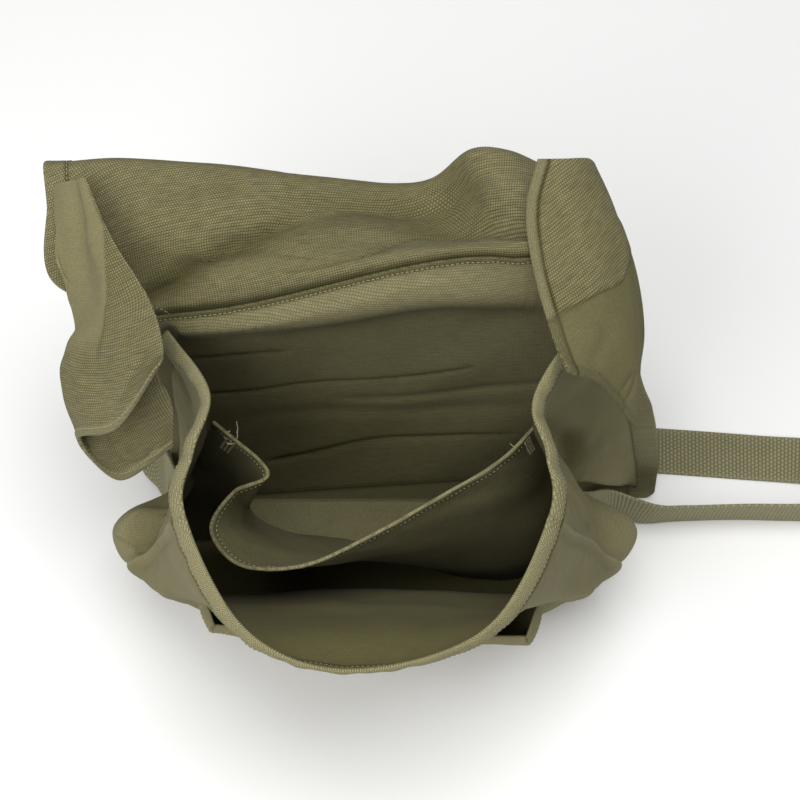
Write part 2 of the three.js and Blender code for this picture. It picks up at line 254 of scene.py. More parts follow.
@dataclass
class Sheet:
    """A cloth sheet on a grid of its surface, in millimetres, with its folds, its hems and its two faces.

    straight lets its rows of threads run square across it, turn is the slant of its threads in degrees, and
    the outer and the inner shade share give the painted shade on its outer and its inner face.
    """

    name: str
    u: Array
    v: Array
    points: Array
    half: float = CLOTH / 2
    hems: dict[Edge, Hem] = field(default_factory=dict)
    straight: bool = False
    turn: float = 0.0
    outer_shade: Array | float = 0.0
    inner_shade: float = 0.0

    def __post_init__(self) -> None:
        """Measures the sheet along its rows and columns."""
        along = np.linalg.norm(np.diff(self.points, axis=1), axis=-1)
        up = np.linalg.norm(np.diff(self.points, axis=0), axis=-1)
        self.across = np.pad(np.cumsum(along, 1), ((0, 0), (1, 0)))
        self.height = np.pad(np.cumsum(up, 0), ((1, 0), (0, 0)))
        if self.straight:
            middle = len(self.u) // 2
            self.height = np.repeat(self.height[:, middle : middle + 1], len(self.u), 1)
        self.wear_and_light, self.hem, self.smooth, self.shade = np.zeros((4, *self.points.shape[:2]))
        self.outer = np.full(self.points.shape[:2], self.half)
        self.inner = self.outer.copy()

    @property
    def normals(self) -> Array:
        """Unit normals of the grid: the cross product of its slopes along u and v."""
        along_u = np.gradient(self.points, self.u, axis=1)
        along_v = np.gradient(self.points, self.v, axis=0)
        return unit(np.cross(along_u, along_v))

    def distance(self, edge: Edge) -> Array:
        """Distance of each grid point from an edge, along the cloth."""
        if edge is Edge.LEFT:
            return self.across
        if edge is Edge.RIGHT:
            return self.across[:, -1:] - self.across
        if edge is Edge.FOOT:
            return self.height
        return self.height[-1:, :] - self.height

    def inside(self, reach: float, edges: Sequence[Edge] = tuple(Edge)) -> Array:
        """Mask that rises from 0 at the named edges to 1 at a reach inside them."""
        mask = np.ones(self.points.shape[:2])
        for edge in edges:
            mask = mask * ramp(0, reach, self.distance(edge))
        return mask

    def track(self, edge: Edge, inset: float, start: float, end: float, count: int = 13) -> Array:
        """Path at an even distance inside an edge.

        Args:
            edge: The edge.
            inset: The distance in millimetres.
            start: Share of the edge where the path starts.
            end: Share of the edge where it ends.
            count: Number of points.

        Returns:
            The points in the sheet's parameters.
        """
        run = np.linspace(start, end, count)
        away = self.distance(edge)
        upright = edge in (Edge.LEFT, Edge.RIGHT)
        near = np.abs((self.v if upright else self.u)[:, None] - run).argmin(0)
        lanes = away[near] if upright else away[:, near].T
        places = self.u if upright else self.v
        order = -1 if edge in (Edge.RIGHT, Edge.TOP) else 1
        inner = np.array([np.interp(inset, lane[::order], places[::order]) for lane in lanes])
        return np.stack([inner, run] if upright else [run, inner], -1)

    def spot(self, centre: Span, reach: Span) -> Array:
        """Round mask about a place in the sheet's parameters: a bell along u times a bell along v."""
        return bell(self.u[None] - centre[0], reach[0]) * bell(self.v[:, None] - centre[1], reach[1])

    def paint_shade(self, amount: Array) -> None:
        """Paints shade on the cloth where an amount is more than the shade it has."""
        self.shade = np.maximum(self.shade, amount)

    def rub(self, amount: Array) -> None:
        """Wears the cloth where an amount is more than its wear."""
        self.wear_and_light = np.maximum(self.wear_and_light, amount)

    def groove(self, edge: Edge, inset: float, depth: float = 0.35, width: float = 1.1) -> None:
        """Sinks both faces along a sewn line inside an edge, as a bell of that width, and paints shade into
        it.
        """
        sunk = bell(self.distance(edge) - inset, width)
        self.outer = self.outer - depth * sunk
        self.inner = self.inner - depth * sunk
        self.paint_shade(0.8 * sunk)

    def push(self, amount: Array) -> None:
        """Moves the cloth along its normal by an amount at each grid point."""
        self.points = self.points + self.normals * amount[..., None]

    def crease(self, folds: Sequence[Crease], mask: Array | float = 1.0) -> None:
        """Presses folds into the cloth.

        A fold sinks by depth times exp(-(d/width)^2) for a round one, or exp(-d/width) for a keen one, where
        d is the distance from the path, and fades over its length as the square root of a half sine. Its
        step is a tanh of the signed distance, which fades over six widths.

        Args:
            folds: The folds.
            mask: Where the cloth is free to move.
        """
        grid = np.stack([self.across, self.height], -1)
        sink = np.zeros(self.points.shape[:2])
        share = np.linspace(0, 1, FOLD_STEPS)
        for fold in folds:
            path = spline(self.read(grid, *np.array(fold.path, float).T), share)
            away = grid[:, :, None, :] - path
            nearest = np.argmin((away**2).sum(-1), -1)
            gap = np.take_along_axis(away, nearest[..., None, None], 2)[:, :, 0]
            way = unit(np.gradient(path, axis=0))[nearest]
            distance = np.linalg.norm(gap, axis=-1)
            side = way[..., 0] * gap[..., 1] - way[..., 1] * gap[..., 0]
            fade = np.maximum(np.sqrt(np.sin(np.pi * share)), fold.hold)[nearest]
            shape = mix(bell(distance, fold.width), np.exp(-distance / fold.width), fold.sharp)
            stepped = 0.5 * np.tanh(side / (0.5 * fold.width)) * np.exp(-distance / (6 * fold.width))
            sink += (fold.depth * shape - fold.step * stepped) * fade
            # painted shade along the fold
            self.paint_shade(fold.crease_shade * shape * fade * mask)
        self.push(-sink * mask)

    def curl(self, edge: Edge, reach: float, amount: float) -> None:
        """Rolls an edge against the normal: by amount at the edge, less as a square over the reach."""
        near = np.clip(1 - self.distance(edge) / reach, 0, 1)
        self.push(-amount * near**2)

    def ridge(self, edge: Edge, height: float, width: float, mask: Array | float = 1.0) -> None:
        """Seam ridge along an edge: a bell of that width, with a shallow sewn valley beside it."""
        away = self.distance(edge)
        crest = bell(away, width)
        valley = bell(away - 2.6 * width, width)
        self.push((height * crest - 0.45 * height * valley) * mask)

    def rumple(self, amount: float, wave: float, seed: int, mask: Array | float = 1.0) -> None:
        """Unevenness of handled cloth: the sum of sine waves of seeded directions and lengths."""
        rng = np.random.default_rng(SEED + seed)
        turn = rng.uniform(0, np.pi, RUMPLE_WAVES)
        length = wave * rng.uniform(0.6, 1.8, RUMPLE_WAVES)
        phase = rng.uniform(0, 2 * np.pi, RUMPLE_WAVES)
        place = self.across[..., None] * np.cos(turn) + self.height[..., None] * np.sin(turn)
        waves = np.sin(2 * np.pi * place / length + phase) * (length / wave)
        self.push(amount * waves.sum(-1) / np.sqrt(RUMPLE_WAVES) * mask)

    def pucker(self, edge: Edge, amount: float, wave: float, reach: float, seed: int) -> None:
        """Small gathers along a sewn edge: waves along the edge that fade with the distance from it."""
        rng = np.random.default_rng(SEED + seed)
        run = self.height if edge in (Edge.LEFT, Edge.RIGHT) else self.across
        factors = rng.uniform(0.6, 1.9, GATHER_WAVES)
        phases = rng.uniform(0, 2 * np.pi, GATHER_WAVES)
        waves = sum(np.sin(2 * np.pi * run / (wave * f) + phase) for f, phase in zip(factors, phases))
        away = self.distance(edge)
        self.push(amount * waves / 2.2 * bell(away, reach) * ramp(0, 2.5, away))

    def turn_hems(self) -> None:
        """Thickens the turned edges, marks them, and rounds every edge off as a quarter circle."""
        for edge, hem in self.hems.items():
            turned = 1 - ramp(hem.width - 0.7, hem.width + 0.5, self.distance(edge))
            swell = hem.round * np.sin(np.pi * np.clip(self.distance(edge) / hem.width, 0, 1))
            self.outer += hem.outer * turned + swell
            self.inner += hem.inner * turned
            self.hem = np.maximum(self.hem, turned * hem.cord)
            self.rub(HEM_WEAR * turned)
        for edge in Edge:
            away = self.distance(edge)
            radius = self.outer + self.inner
            short = 1 - np.clip(away / (0.5 * radius), 0, 1)
            rounding = 0.3 + 0.7 * np.sqrt(np.clip(1 - short**2, 0, 1))
            self.outer = self.outer * rounding
            self.inner = self.inner * rounding
            self.rub(np.exp(-away / EDGE_WEAR_REACH))

    def read(self, grid: Array, u: Array, v: Array) -> Array:
        """Straight blend of the four grid values round each place in the sheet's parameters."""
        i = np.clip(np.searchsorted(self.u, u) - 1, 0, len(self.u) - 2)
        j = np.clip(np.searchsorted(self.v, v) - 1, 0, len(self.v) - 2)
        s = ((u - self.u[i]) / (self.u[i + 1] - self.u[i]))[..., None]
        t = ((v - self.v[j]) / (self.v[j + 1] - self.v[j]))[..., None]
        return mix(mix(grid[j, i], grid[j, i + 1], s), mix(grid[j + 1, i], grid[j + 1, i + 1], s), t)

    def place_on(self, u: Array, v: Array, face: Face) -> tuple[Array, Array]:
        """Points and outward directions on a face of the sheet, by straight blends between its grid points.

        Args:
            u: Parameters along the rows.
            v: Parameters from row to row.
            face: The face.

        Returns:
            The points in millimetres, and the unit directions off that face.
        """
        reach = self.outer if face is Face.OUTER else -self.inner
        normals = self.normals
        surface = self.points + normals * reach[..., None]
        return self.read(surface, u, v), unit(self.read(normals, u, v)) * face.value

    def build(self, material: bpy.types.Material) -> bpy.types.Object:
        """Makes the closed mesh of the two faces and the rim, with its cloth map and masks.

        Args:
            material: The finish.

        Returns:
            The new object.
        """
        normals = self.normals
        outer = self.points + normals * self.outer[..., None]
        inner = self.points - normals * self.inner[..., None]
        rows, columns = self.points.shape[:2]
        front = np.arange(rows * columns).reshape(rows, columns)
        back = front + rows * columns
        quads = [
            np.stack([front[:-1, :-1], front[:-1, 1:], front[1:, 1:], front[1:, :-1]], -1).reshape(-1, 4),
            np.stack([back[:-1, :-1], back[1:, :-1], back[1:, 1:], back[:-1, 1:]], -1).reshape(-1, 4),
            np.stack([front[0, 1:], front[0, :-1], back[0, :-1], back[0, 1:]], -1),
            np.stack([front[-1, :-1], front[-1, 1:], back[-1, 1:], back[-1, :-1]], -1),
            np.stack([front[:-1, 0], front[1:, 0], back[1:, 0], back[:-1, 0]], -1),
            np.stack([front[1:, -1], front[:-1, -1], back[:-1, -1], back[1:, -1]], -1),
        ]
        vertices = np.concatenate([outer.reshape(-1, 3), inner.reshape(-1, 3)])
        middle = self.across[:, columns // 2][:, None]
        sine, cosine = math.sin(math.radians(self.turn)), math.cos(math.radians(self.turn))
        along = self.across - middle
        turned = [along * cosine + self.height * sine, self.height * cosine - along * sine]
        cloth = np.tile(np.stack(turned, -1).reshape(-1, 2), (2, 1))
        # one mask holds paleness from use and painted light
        named = {"wear_and_light": self.wear_and_light, "hem": self.hem, "smooth": self.smooth}
        masks = {key: np.tile(values.ravel(), 2) for key, values in named.items()}
        # painted shade on each face: the sheet's own shade with the share for that face
        shares = ((1 - self.shade) * (1 - self.outer_shade), (1 - self.shade) * (1 - self.inner_shade))
        masks["shade"] = np.concatenate([1 - share.ravel() for share in shares])
        return mesh_object(self.name, vertices, np.concatenate(quads), material, cloth, masks)


def mesh_object(
    name: str,
    vertices: Array,
    faces: npt.NDArray[np.int64],
    material: bpy.types.Material,
    cloth: Array | None = None,
    masks: dict[str, Array] | None = None,
) -> bpy.types.Object:
    """Puts arrays into a new smooth mesh object at the origin.

    Args:
        name: Name of the object.
        vertices: Points in millimetres.
        faces: Corner numbers, four or three to a face.
        material: The finish.
        cloth: Place of each point on the flat cloth in millimetres, for the cloth map.
        masks: Named values of each point.

    Returns:
        The new object, linked to the scene.
    """
    mesh = bpy.data.meshes.new(name)
    count, corners = faces.shape
    mesh.vertices.add(len(vertices))
    mesh.vertices.foreach_set("co", (vertices * MM).astype(np.float32).ravel())
    mesh.loops.add(count * corners)
    mesh.loops.foreach_set("vertex_index", faces.astype(np.int32).ravel())
    mesh.polygons.add(count)
    mesh.polygons.foreach_set("loop_start", np.arange(0, count * corners, corners, dtype=np.int32))
    mesh.polygons.foreach_set("use_smooth", np.ones(count, dtype=bool))
    if cloth is not None:
        layer = mesh.uv_layers.new(name="cloth")
        layer.data.foreach_set("uv", (cloth[faces.ravel()] * MM).astype(np.float32).ravel())
    for mask, values in (masks or {}).items():
        attribute = mesh.attributes.new(mask, "FLOAT", "POINT")
        attribute.data.foreach_set("value", values.astype(np.float32))
    mesh.update(calc_edges=True)
    mesh.validate()
    mesh.materials.append(material)
    made = bpy.data.objects.new(name, mesh)
    bpy.context.scene.collection.objects.link(made)
    return made


def settle(piece: bpy.types.Object, slot: Slot, *nodes: str) -> bpy.types.Object:
    """Rides a piece on the bag's body, hides the solids it stands for, and reports it."""
    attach(piece, "root")
    if nodes:
        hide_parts(*nodes)
    log.info("%s: %d faces", piece.name, len(piece.data.polygons))
    return piece


# Finishes


class Graph:
    """A node tree under construction, with short calls for the nodes that cloth needs."""

    def __init__(self, tree: bpy.types.NodeTree) -> None:
        """Keeps the tree to build in."""
        self.tree = tree

    def node(self, kind: str, **settings: object) -> bpy.types.Node:
        """New node of a kind, with its settings."""
        made = self.tree.nodes.new(kind)
        for key, value in settings.items():
            setattr(made, key, value)
        return made

    def put(self, socket: Socket, value: Value | tuple[float, ...]) -> None:
        """Links a socket to another one, or sets its value."""
        if isinstance(value, bpy.types.NodeSocket):
            self.tree.links.new(value, socket)
        else:
            socket.default_value = value

    def math(self, operation: str, *values: Value) -> Socket:
        """Result of one sum on one to three values."""
        made = self.node("ShaderNodeMath", operation=operation)
        for socket, value in zip(made.inputs, values):
            self.put(socket, value)
        return made.outputs[0]

    def times(self, first: Value, second: Value) -> Socket:
        """Product of two values."""
        return self.math("MULTIPLY", first, second)

    def plus(self, first: Value, second: Value) -> Socket:
        """Sum of two values."""
        return self.math("ADD", first, second)

    def linear(self, value: Value, slope: Value, start: Value) -> Socket:
        """Value times a slope, plus a start."""
        return self.math("MULTIPLY_ADD", value, slope, start)

    def sine(self, turns: Value) -> Socket:
        """Sine of a number of half turns."""
        return self.math("SINE", self.times(turns, math.pi))

    def parts(self, vector: Socket) -> list[Socket]:
        """The three numbers of a vector."""
        split = self.node("ShaderNodeSeparateXYZ")
        self.put(split.inputs[0], vector)
        return list(split.outputs)

    def scaled(self, vector: Socket, x: float, y: float) -> Socket:
        """Vector times a factor on each of its first two axes."""
        joined = self.node("ShaderNodeCombineXYZ")
        for socket, part, factor in zip(joined.inputs, self.parts(vector), (x, y, 1.0)):
            self.put(socket, self.times(part, factor))
        return joined.outputs[0]

    def noise(self, vector: Socket, scale: float, detail: float = 3.0, roughness: float = 0.55) -> Socket:
        """Noise value of a vector."""
        made = self.node("ShaderNodeTexNoise")
        self.put(made.inputs["Vector"], vector)
        made.inputs["Scale"].default_value = scale
        made.inputs["Detail"].default_value = detail
        made.inputs["Roughness"].default_value = roughness
        return made.outputs[0]

    def remap(self, value: Socket, low: float, high: float, start: float = 0.0, end: float = 1.0) -> Socket:
        """Value carried from one range to another, and kept in it."""
        made = self.node("ShaderNodeMapRange", clamp=True)
        self.put(made.inputs[0], value)
        for index, number in enumerate((low, high, start, end)):
            made.inputs[index + 1].default_value = number
        return made.outputs[0]

    def blend(self, share: Value, first: Socket, second: Socket, kind: str = "MIX") -> Socket:
        """Blend of two colours."""
        made = self.node("ShaderNodeMix", data_type="RGBA", blend_type=kind)
        self.put(made.inputs["Factor"], share)
        self.put(made.inputs["A"], first)
        self.put(made.inputs["B"], second)
        return made.outputs["Result"]

    def toned(self, colour: Socket, *tones: Socket) -> Socket:
        """Colour times one tone, or times a tone for each channel."""
        tint = self.node("ShaderNodeCombineColor")
        for socket, tone in zip(tint.inputs, tones if len(tones) > 1 else tones * 3):
            self.put(socket, tone)
        return self.blend(1.0, colour, tint.outputs[0], "MULTIPLY")

    def between(self, share: Value, first: Value, second: Value) -> Socket:
        """Blend of two numbers."""
        made = self.node("ShaderNodeMix", data_type="FLOAT")
        self.put(made.inputs[0], share)
        self.put(made.inputs[2], first)
        self.put(made.inputs[3], second)
        return made.outputs[0]

    def mask(self, name: str) -> Socket:
        """Named value of the mesh."""
        return self.node("ShaderNodeAttribute", attribute_name=name).outputs["Fac"]

    def use(self, group: bpy.types.NodeTree, **values: Value | tuple) -> bpy.types.Node:
        """Places a group and fills its inputs by name."""
        made = self.node("ShaderNodeGroup", node_tree=group)
        for key, value in values.items():
            self.put(made.inputs[key], value)
        return made


class ClothEffects:
    """Shader groups that the cloth finishes share: woven threads, twilled edge, webbing ribs and ageing."""

    def __init__(self) -> None:
        """Builds each group once."""
        self.weave = self._weave()
        self.twill = self._twill()
        self.ribs = self._ribs()
        self.ageing = self._ageing()

    @staticmethod
    def _group(
        name: str, outputs: Sequence[str], **inputs: float | tuple[float, ...]
    ) -> tuple[Graph, bpy.types.NodeOutputs, bpy.types.NodeInputs]:
        """New group with named sockets.

        Args:
            name: Name of the group.
            outputs: Names of its outputs: a colour for Color, and numbers for the others.
            inputs: Starting values of its inputs after Vector: colours or numbers.

        Returns:
            The graph, its inputs and its outputs by name.
        """
        tree = bpy.data.node_groups.new(name, "ShaderNodeTree")
        tree.interface.new_socket("Vector", in_out="INPUT", socket_type="NodeSocketVector")
        for key, value in inputs.items():
            kind = "NodeSocketColor" if isinstance(value, tuple) else "NodeSocketFloat"
            tree.interface.new_socket(key, in_out="INPUT", socket_type=kind).default_value = value
        for key in outputs:
            kind = "NodeSocketColor" if key == "Color" else "NodeSocketFloat"
            tree.interface.new_socket(key, in_out="OUTPUT", socket_type=kind)
        graph = Graph(tree)
        return graph, graph.node("NodeGroupInput").outputs, graph.node("NodeGroupOutput").inputs

    def _weave(self) -> bpy.types.NodeTree:
        """Plain weave of thin warp and thick weft, which lie over one another by turns.

        With a and b the place counted in threads, the warp has the profile |sin(pi a)| and the weft rows
        |sin(pi b)|. The sign of sin(pi a) sin(pi b) says which is on top; its height is its own profile,
        lowered where it dips at the next crossing.
        """
        outputs = ("Height", "Over", "Row", "Yarn")
        graph, given, out = self._group("plain_weave", outputs, Warp=0.0008, Weft=0.0016)
        sway = graph.noise(given["Vector"], 55.0, 2.0)
        x, y, _ = graph.parts(given["Vector"])
        swayed = graph.times(graph.math("SUBTRACT", sway, 0.5), 1.2)
        a = graph.plus(graph.math("DIVIDE", x, given["Warp"]), swayed)
        b = graph.math("SUBTRACT", graph.math("DIVIDE", y, given["Weft"]), swayed)
        sine_a, sine_b = graph.sine(a), graph.sine(b)
        product = graph.times(sine_a, sine_b)
        over = graph.remap(product, -0.12, 0.12)
        across, along = graph.math("ABSOLUTE", sine_a), graph.math("ABSOLUTE", sine_b)
        first = graph.times(across, graph.linear(along, 0.5, 0.5))
        second = graph.times(along, graph.linear(across, 0.5, 0.5))
        graph.put(out["Height"], graph.between(over, second, first))
        graph.put(out["Over"], graph.linear(product, 0.5, 0.5))
        graph.put(out["Row"], along)
        graph.put(out["Yarn"], graph.noise(graph.scaled(given["Vector"], 110.0, 640.0), 1.0, 2.0))
        return graph.tree

    def _twill(self) -> bpy.types.NodeTree:
        """Turned edge: slanting cords, whose slant turns back at each column as in a herringbone."""
        graph, given, out = self._group("twilled_edge", ("Height",), Pitch=0.00125, Column=0.0013)
        x, y, _ = graph.parts(given["Vector"])
        zigzag = graph.math("PINGPONG", graph.math("DIVIDE", y, given["Column"]), 1.0)
        run = graph.math("DIVIDE", x, given["Pitch"])
        jitter = graph.times(graph.noise(given["Vector"], 420.0, 2.0), 0.7)
        phase = graph.plus(graph.plus(run, graph.times(zigzag, 1.4)), jitter)
        wave = graph.math("SINE", graph.times(phase, 2 * math.pi))
        graph.put(out["Height"], graph.linear(wave, 0.5, 0.5))
        return graph.tree

    def _ribs(self) -> bpy.types.NodeTree:
        """Webbing: cords across the band, crossed by rows of short threads that shift from cord to cord."""
        graph, given, out = self._group("webbing_ribs", ("Height", "Dash"), Cord=0.0024, Thread=0.0017)
        x, y, _ = graph.parts(given["Vector"])
        cord = graph.math("DIVIDE", y, given["Cord"])
        shift = graph.times(graph.math("FLOOR", cord), 0.5)
        thread = graph.plus(graph.math("DIVIDE", x, given["Thread"]), shift)
        ridge, dash = (graph.math("ABSOLUTE", graph.sine(place)) for place in (cord, thread))
        graph.put(out["Height"], graph.times(ridge, graph.linear(dash, 0.45, 0.55)))
        graph.put(out["Dash"], graph.times(graph.math("POWER", ridge, 0.7), graph.math("POWER", dash, 0.6)))
        return graph.tree

    def _ageing(self) -> bpy.types.NodeTree:
        """Use and washing: cloudy fading and a dusty cast in large patches, and paleness from use and from
        painted light.
        """
        graph, given, out = self._group(
            "cloth_ageing",
            ("Color", "Fuzz"),
            Color=(0.15, 0.14, 0.07, 1),
            Faded=(0.2, 0.19, 0.11, 1),
            Grime=(0.1, 0.09, 0.05, 1),
            Wear=0.0,
        )
        cloud = graph.remap(graph.noise(given["Vector"], 13.0, 4.0), 0.38, 0.68)
        patch = graph.remap(graph.noise(given["Vector"], 31.0, 5.0, 0.62), 0.42, 0.72)
        fine = graph.noise(given["Vector"], 900.0, 2.0, 0.6)
        faded = graph.blend(graph.times(cloud, 0.34), given["Color"], given["Faded"])
        dusty = graph.blend(graph.times(patch, 0.26), faded, given["Grime"])
        worn_and_lit = graph.times(given["Wear"], graph.remap(fine, 0.25, 0.7, 0.25, 0.8))
        pale = graph.blend(worn_and_lit, dusty, given["Faded"])
        speck = graph.remap(fine, 0.25, 0.75, 0.9, 1.1)
        graph.put(out["Color"], graph.toned(pale, speck))
        graph.put(out["Fuzz"], fine)
        return graph.tree


class MaterialGraph(Graph):
    """Node tree of a new material, with its shader."""

    def __init__(self, name: str) -> None:
        """Starts the material and keeps its shader."""
        self.material = bpy.data.materials.new(name)
        self.material.use_nodes = True
        super().__init__(self.material.node_tree)
        self.shader = self.tree.nodes["Principled BSDF"]

    def flat(self) -> Socket:
        """Place on the flat cloth."""
        return self.node("ShaderNodeUVMap", uv_map="cloth").outputs[0]

    def aged(self, group: bpy.types.NodeTree, colours: Sequence[Rgb], wear_and_light: Value) -> bpy.types.Node:
        """Places the ageing group.

        Args:
            group: The ageing group.
            colours: The plain, the faded and the grimy colour.
            wear_and_light: How pale the cloth is, from use and from painted light.

        Returns:
            The placed group.
        """
        place = self.node("ShaderNodeTexCoord").outputs["Object"]
        plain, faded, grime = [(*colour, 1) for colour in colours]
        return self.use(group, Vector=place, Color=plain, Faded=faded, Grime=grime, Wear=wear_and_light)

    def surface(self, colour: Socket, height: Socket, relief: float, **values: Value) -> None:
        """Fills the shader.

        Args:
            colour: Its colour.
            height: Height of its relief, from 0 to about 1.
            relief: Depth of the relief in metres.
            values: Further inputs by name, with underscores for the spaces.
        """
        bump = self.node("ShaderNodeBump")
        bump.inputs["Strength"].default_value = 1.0
        bump.inputs["Distance"].default_value = relief
        self.put(bump.inputs["Height"], height)
        self.put(self.shader.inputs["Base Color"], colour)
        self.put(self.shader.inputs["Normal"], bump.outputs[0])
        for key, value in values.items():
            self.put(self.shader.inputs[key.replace("_", " ")], value)


@dataclass(frozen=True)
class CanvasFinish:
    """Olive cotton canvas: its linear colours, its thread pitches in metres and how its threads show."""

    name: str
    colour: Rgb = (0.171, 0.154, 0.072)
    faded: Rgb = (0.237, 0.218, 0.122)
    grime: Rgb = (0.122, 0.111, 0.05)
    warp: float = 0.00073
    weft: float = 0.00144
    show: float = 0.5
    depth: float = 0.00022
    roughness: float = 0.93
    sheen: float = 0.02
    hem_pale: float = 0.85
    smooth_pale: float = 0.5
    cord_tones: Span = (0.66, 1.5)
    shade_depth: float = 0.85
    shade_warmth: float = 0.3

    def material(self, effects: ClothEffects) -> bpy.types.Material:
        """Builds the material.

        Threads darken towards their gaps and stand as relief; turned edges take the twilled look and a paler
        tone, and shaded cloth is darker and warmer.

        Args:
            effects: The shared groups.

        Returns:
            The material.
        """
        graph = MaterialGraph(self.name)
        flat = graph.flat()
        hem, smooth, shade = graph.mask("hem"), graph.mask("smooth"), graph.mask("shade")
        weave = graph.use(effects.weave, Vector=flat, Warp=self.warp, Weft=self.weft).outputs
        twill = graph.use(effects.twill, Vector=flat).outputs["Height"]
        pale = graph.math("MAXIMUM", graph.times(hem, self.hem_pale), graph.times(smooth, self.smooth_pale))
        wear_and_light = graph.math("MAXIMUM", graph.mask("wear_and_light"), pale)
        aged = graph.aged(effects.ageing, (self.colour, self.faded, self.grime), wear_and_light).outputs
        crossing = graph.remap(weave["Over"], 0.1, 0.9, 1 - 0.5 * self.show, 1 + 0.55 * self.show)
        gaps = graph.remap(weave["Row"], 0.0, 0.8, 1 - 0.75 * self.show, 1 + 0.12 * self.show)
        yarn = graph.remap(weave["Yarn"], 0.3, 0.7, 1 - 0.24 * self.show, 1 + 0.24 * self.show)
        threads = graph.times(graph.times(crossing, gaps), yarn)
        woven = graph.between(graph.times(smooth, 0.85), threads, 1.0)
        cords = graph.remap(twill, 0.1, 0.9, *self.cord_tones)
        tone = graph.times(graph.between(hem, woven, cords), graph.linear(shade, -self.shade_depth, 1.0))
        warm = graph.times(tone, graph.linear(shade, -self.shade_warmth, 1.0))
        threaded = graph.times(weave["Height"], graph.linear(smooth, -0.7, 1.0))
        relief = graph.between(hem, threaded, graph.times(twill, 1.5))
        graph.surface(
            graph.toned(aged["Color"], tone, tone, warm),
            graph.linear(aged["Fuzz"], 0.4, relief),
            self.depth,
            Roughness=graph.remap(aged["Fuzz"], 0.2, 0.8, self.roughness - 0.06, self.roughness),
            Sheen_Weight=self.sheen,
            Sheen_Roughness=0.5,
            Specular_IOR_Level=0.2,
        )
        return graph.material


@dataclass(frozen=True)
class WebbingFinish:
    """Ribbed cotton webbing: its linear colours and the pitches of its cords and threads in metres."""

    name: str = "olive_webbing"
    colour: Rgb = (0.238, 0.22, 0.122)
    faded: Rgb = (0.33, 0.312, 0.19)
    grime: Rgb = (0.15, 0.136, 0.072)
    cord: float = 0.0024
    thread: float = 0.003
    relief: float = 0.0004
    paled_flat: float = 0.55
    paled_tone: float = 0.92

    def material(self, effects: ClothEffects) -> bpy.types.Material:
        """Builds the material: cords across the band with dark gaps, fainter where the cloth is paler from
        use and from painted light.

        Args:
            effects: The shared groups.

        Returns:
            The material.
        """
        graph = MaterialGraph(self.name)
        wear_and_light = graph.mask("wear_and_light")
        ribs = graph.use(effects.ribs, Vector=graph.flat(), Cord=self.cord, Thread=self.thread).outputs
        aged = graph.aged(effects.ageing, (self.colour, self.faded, self.grime), wear_and_light).outputs
        ribbed = graph.remap(ribs["Dash"], 0.0, 0.85, 0.42, 1.14)
        tone = graph.between(graph.times(wear_and_light, self.paled_flat), ribbed, self.paled_tone)
        height = graph.linear(aged["Fuzz"], 0.2, ribs["Height"])
        colour = graph.toned(aged["Color"], tone)
        graph.surface(colour, height, self.relief, Roughness=0.88, Specular_IOR_Level=0.2)
        return graph.material


@dataclass(frozen=True)
class ThreadFinish:
    """Sewing thread, paler than the canvas: its linear colour, and its faded and grimy shares of it."""

    name: str = "sewing_thread"
    colour: Rgb = (0.3, 0.275, 0.16)
    faded: float = 1.25
    grime: float = 0.7
    relief: float = 0.0001

    def material(self, effects: ClothEffects) -> bpy.types.Material:
        """Builds the material: thread colour that varies from stitch to stitch, with a fine twist.

        Args:
            effects: The shared groups.

        Returns:
            The material.
        """
        graph = MaterialGraph(self.name)
        shares = (1.0, self.faded, self.grime)
        colours = [tuple(share * channel for channel in self.colour) for share in shares]
        aged = graph.aged(effects.ageing, colours, 0.0).outputs
        graph.surface(aged["Color"], aged["Fuzz"], self.relief, Roughness=0.7, Sheen_Weight=0.1)
        return graph.material


@dataclass
class Finishes:
    """All the materials of the bag."""

    def __post_init__(self) -> None:
        """Builds the shared groups and the materials."""
        effects = ClothEffects()
        self.open_canvas = CanvasFinish("open_canvas", show=0.8).material(effects)
        self.plain_canvas = CanvasFinish("plain_canvas", show=0.22, depth=0.00012).material(effects)
        self.inner_canvas = CanvasFinish("inner_canvas", show=0.5, depth=0.00014).material(effects)
        self.webbing = WebbingFinish().material(effects)
        self.thread = ThreadFinish().material(effects)
        self.hem_thread = ThreadFinish("hem_thread", (0.2, 0.185, 0.105)).material(effects)


# Stitches


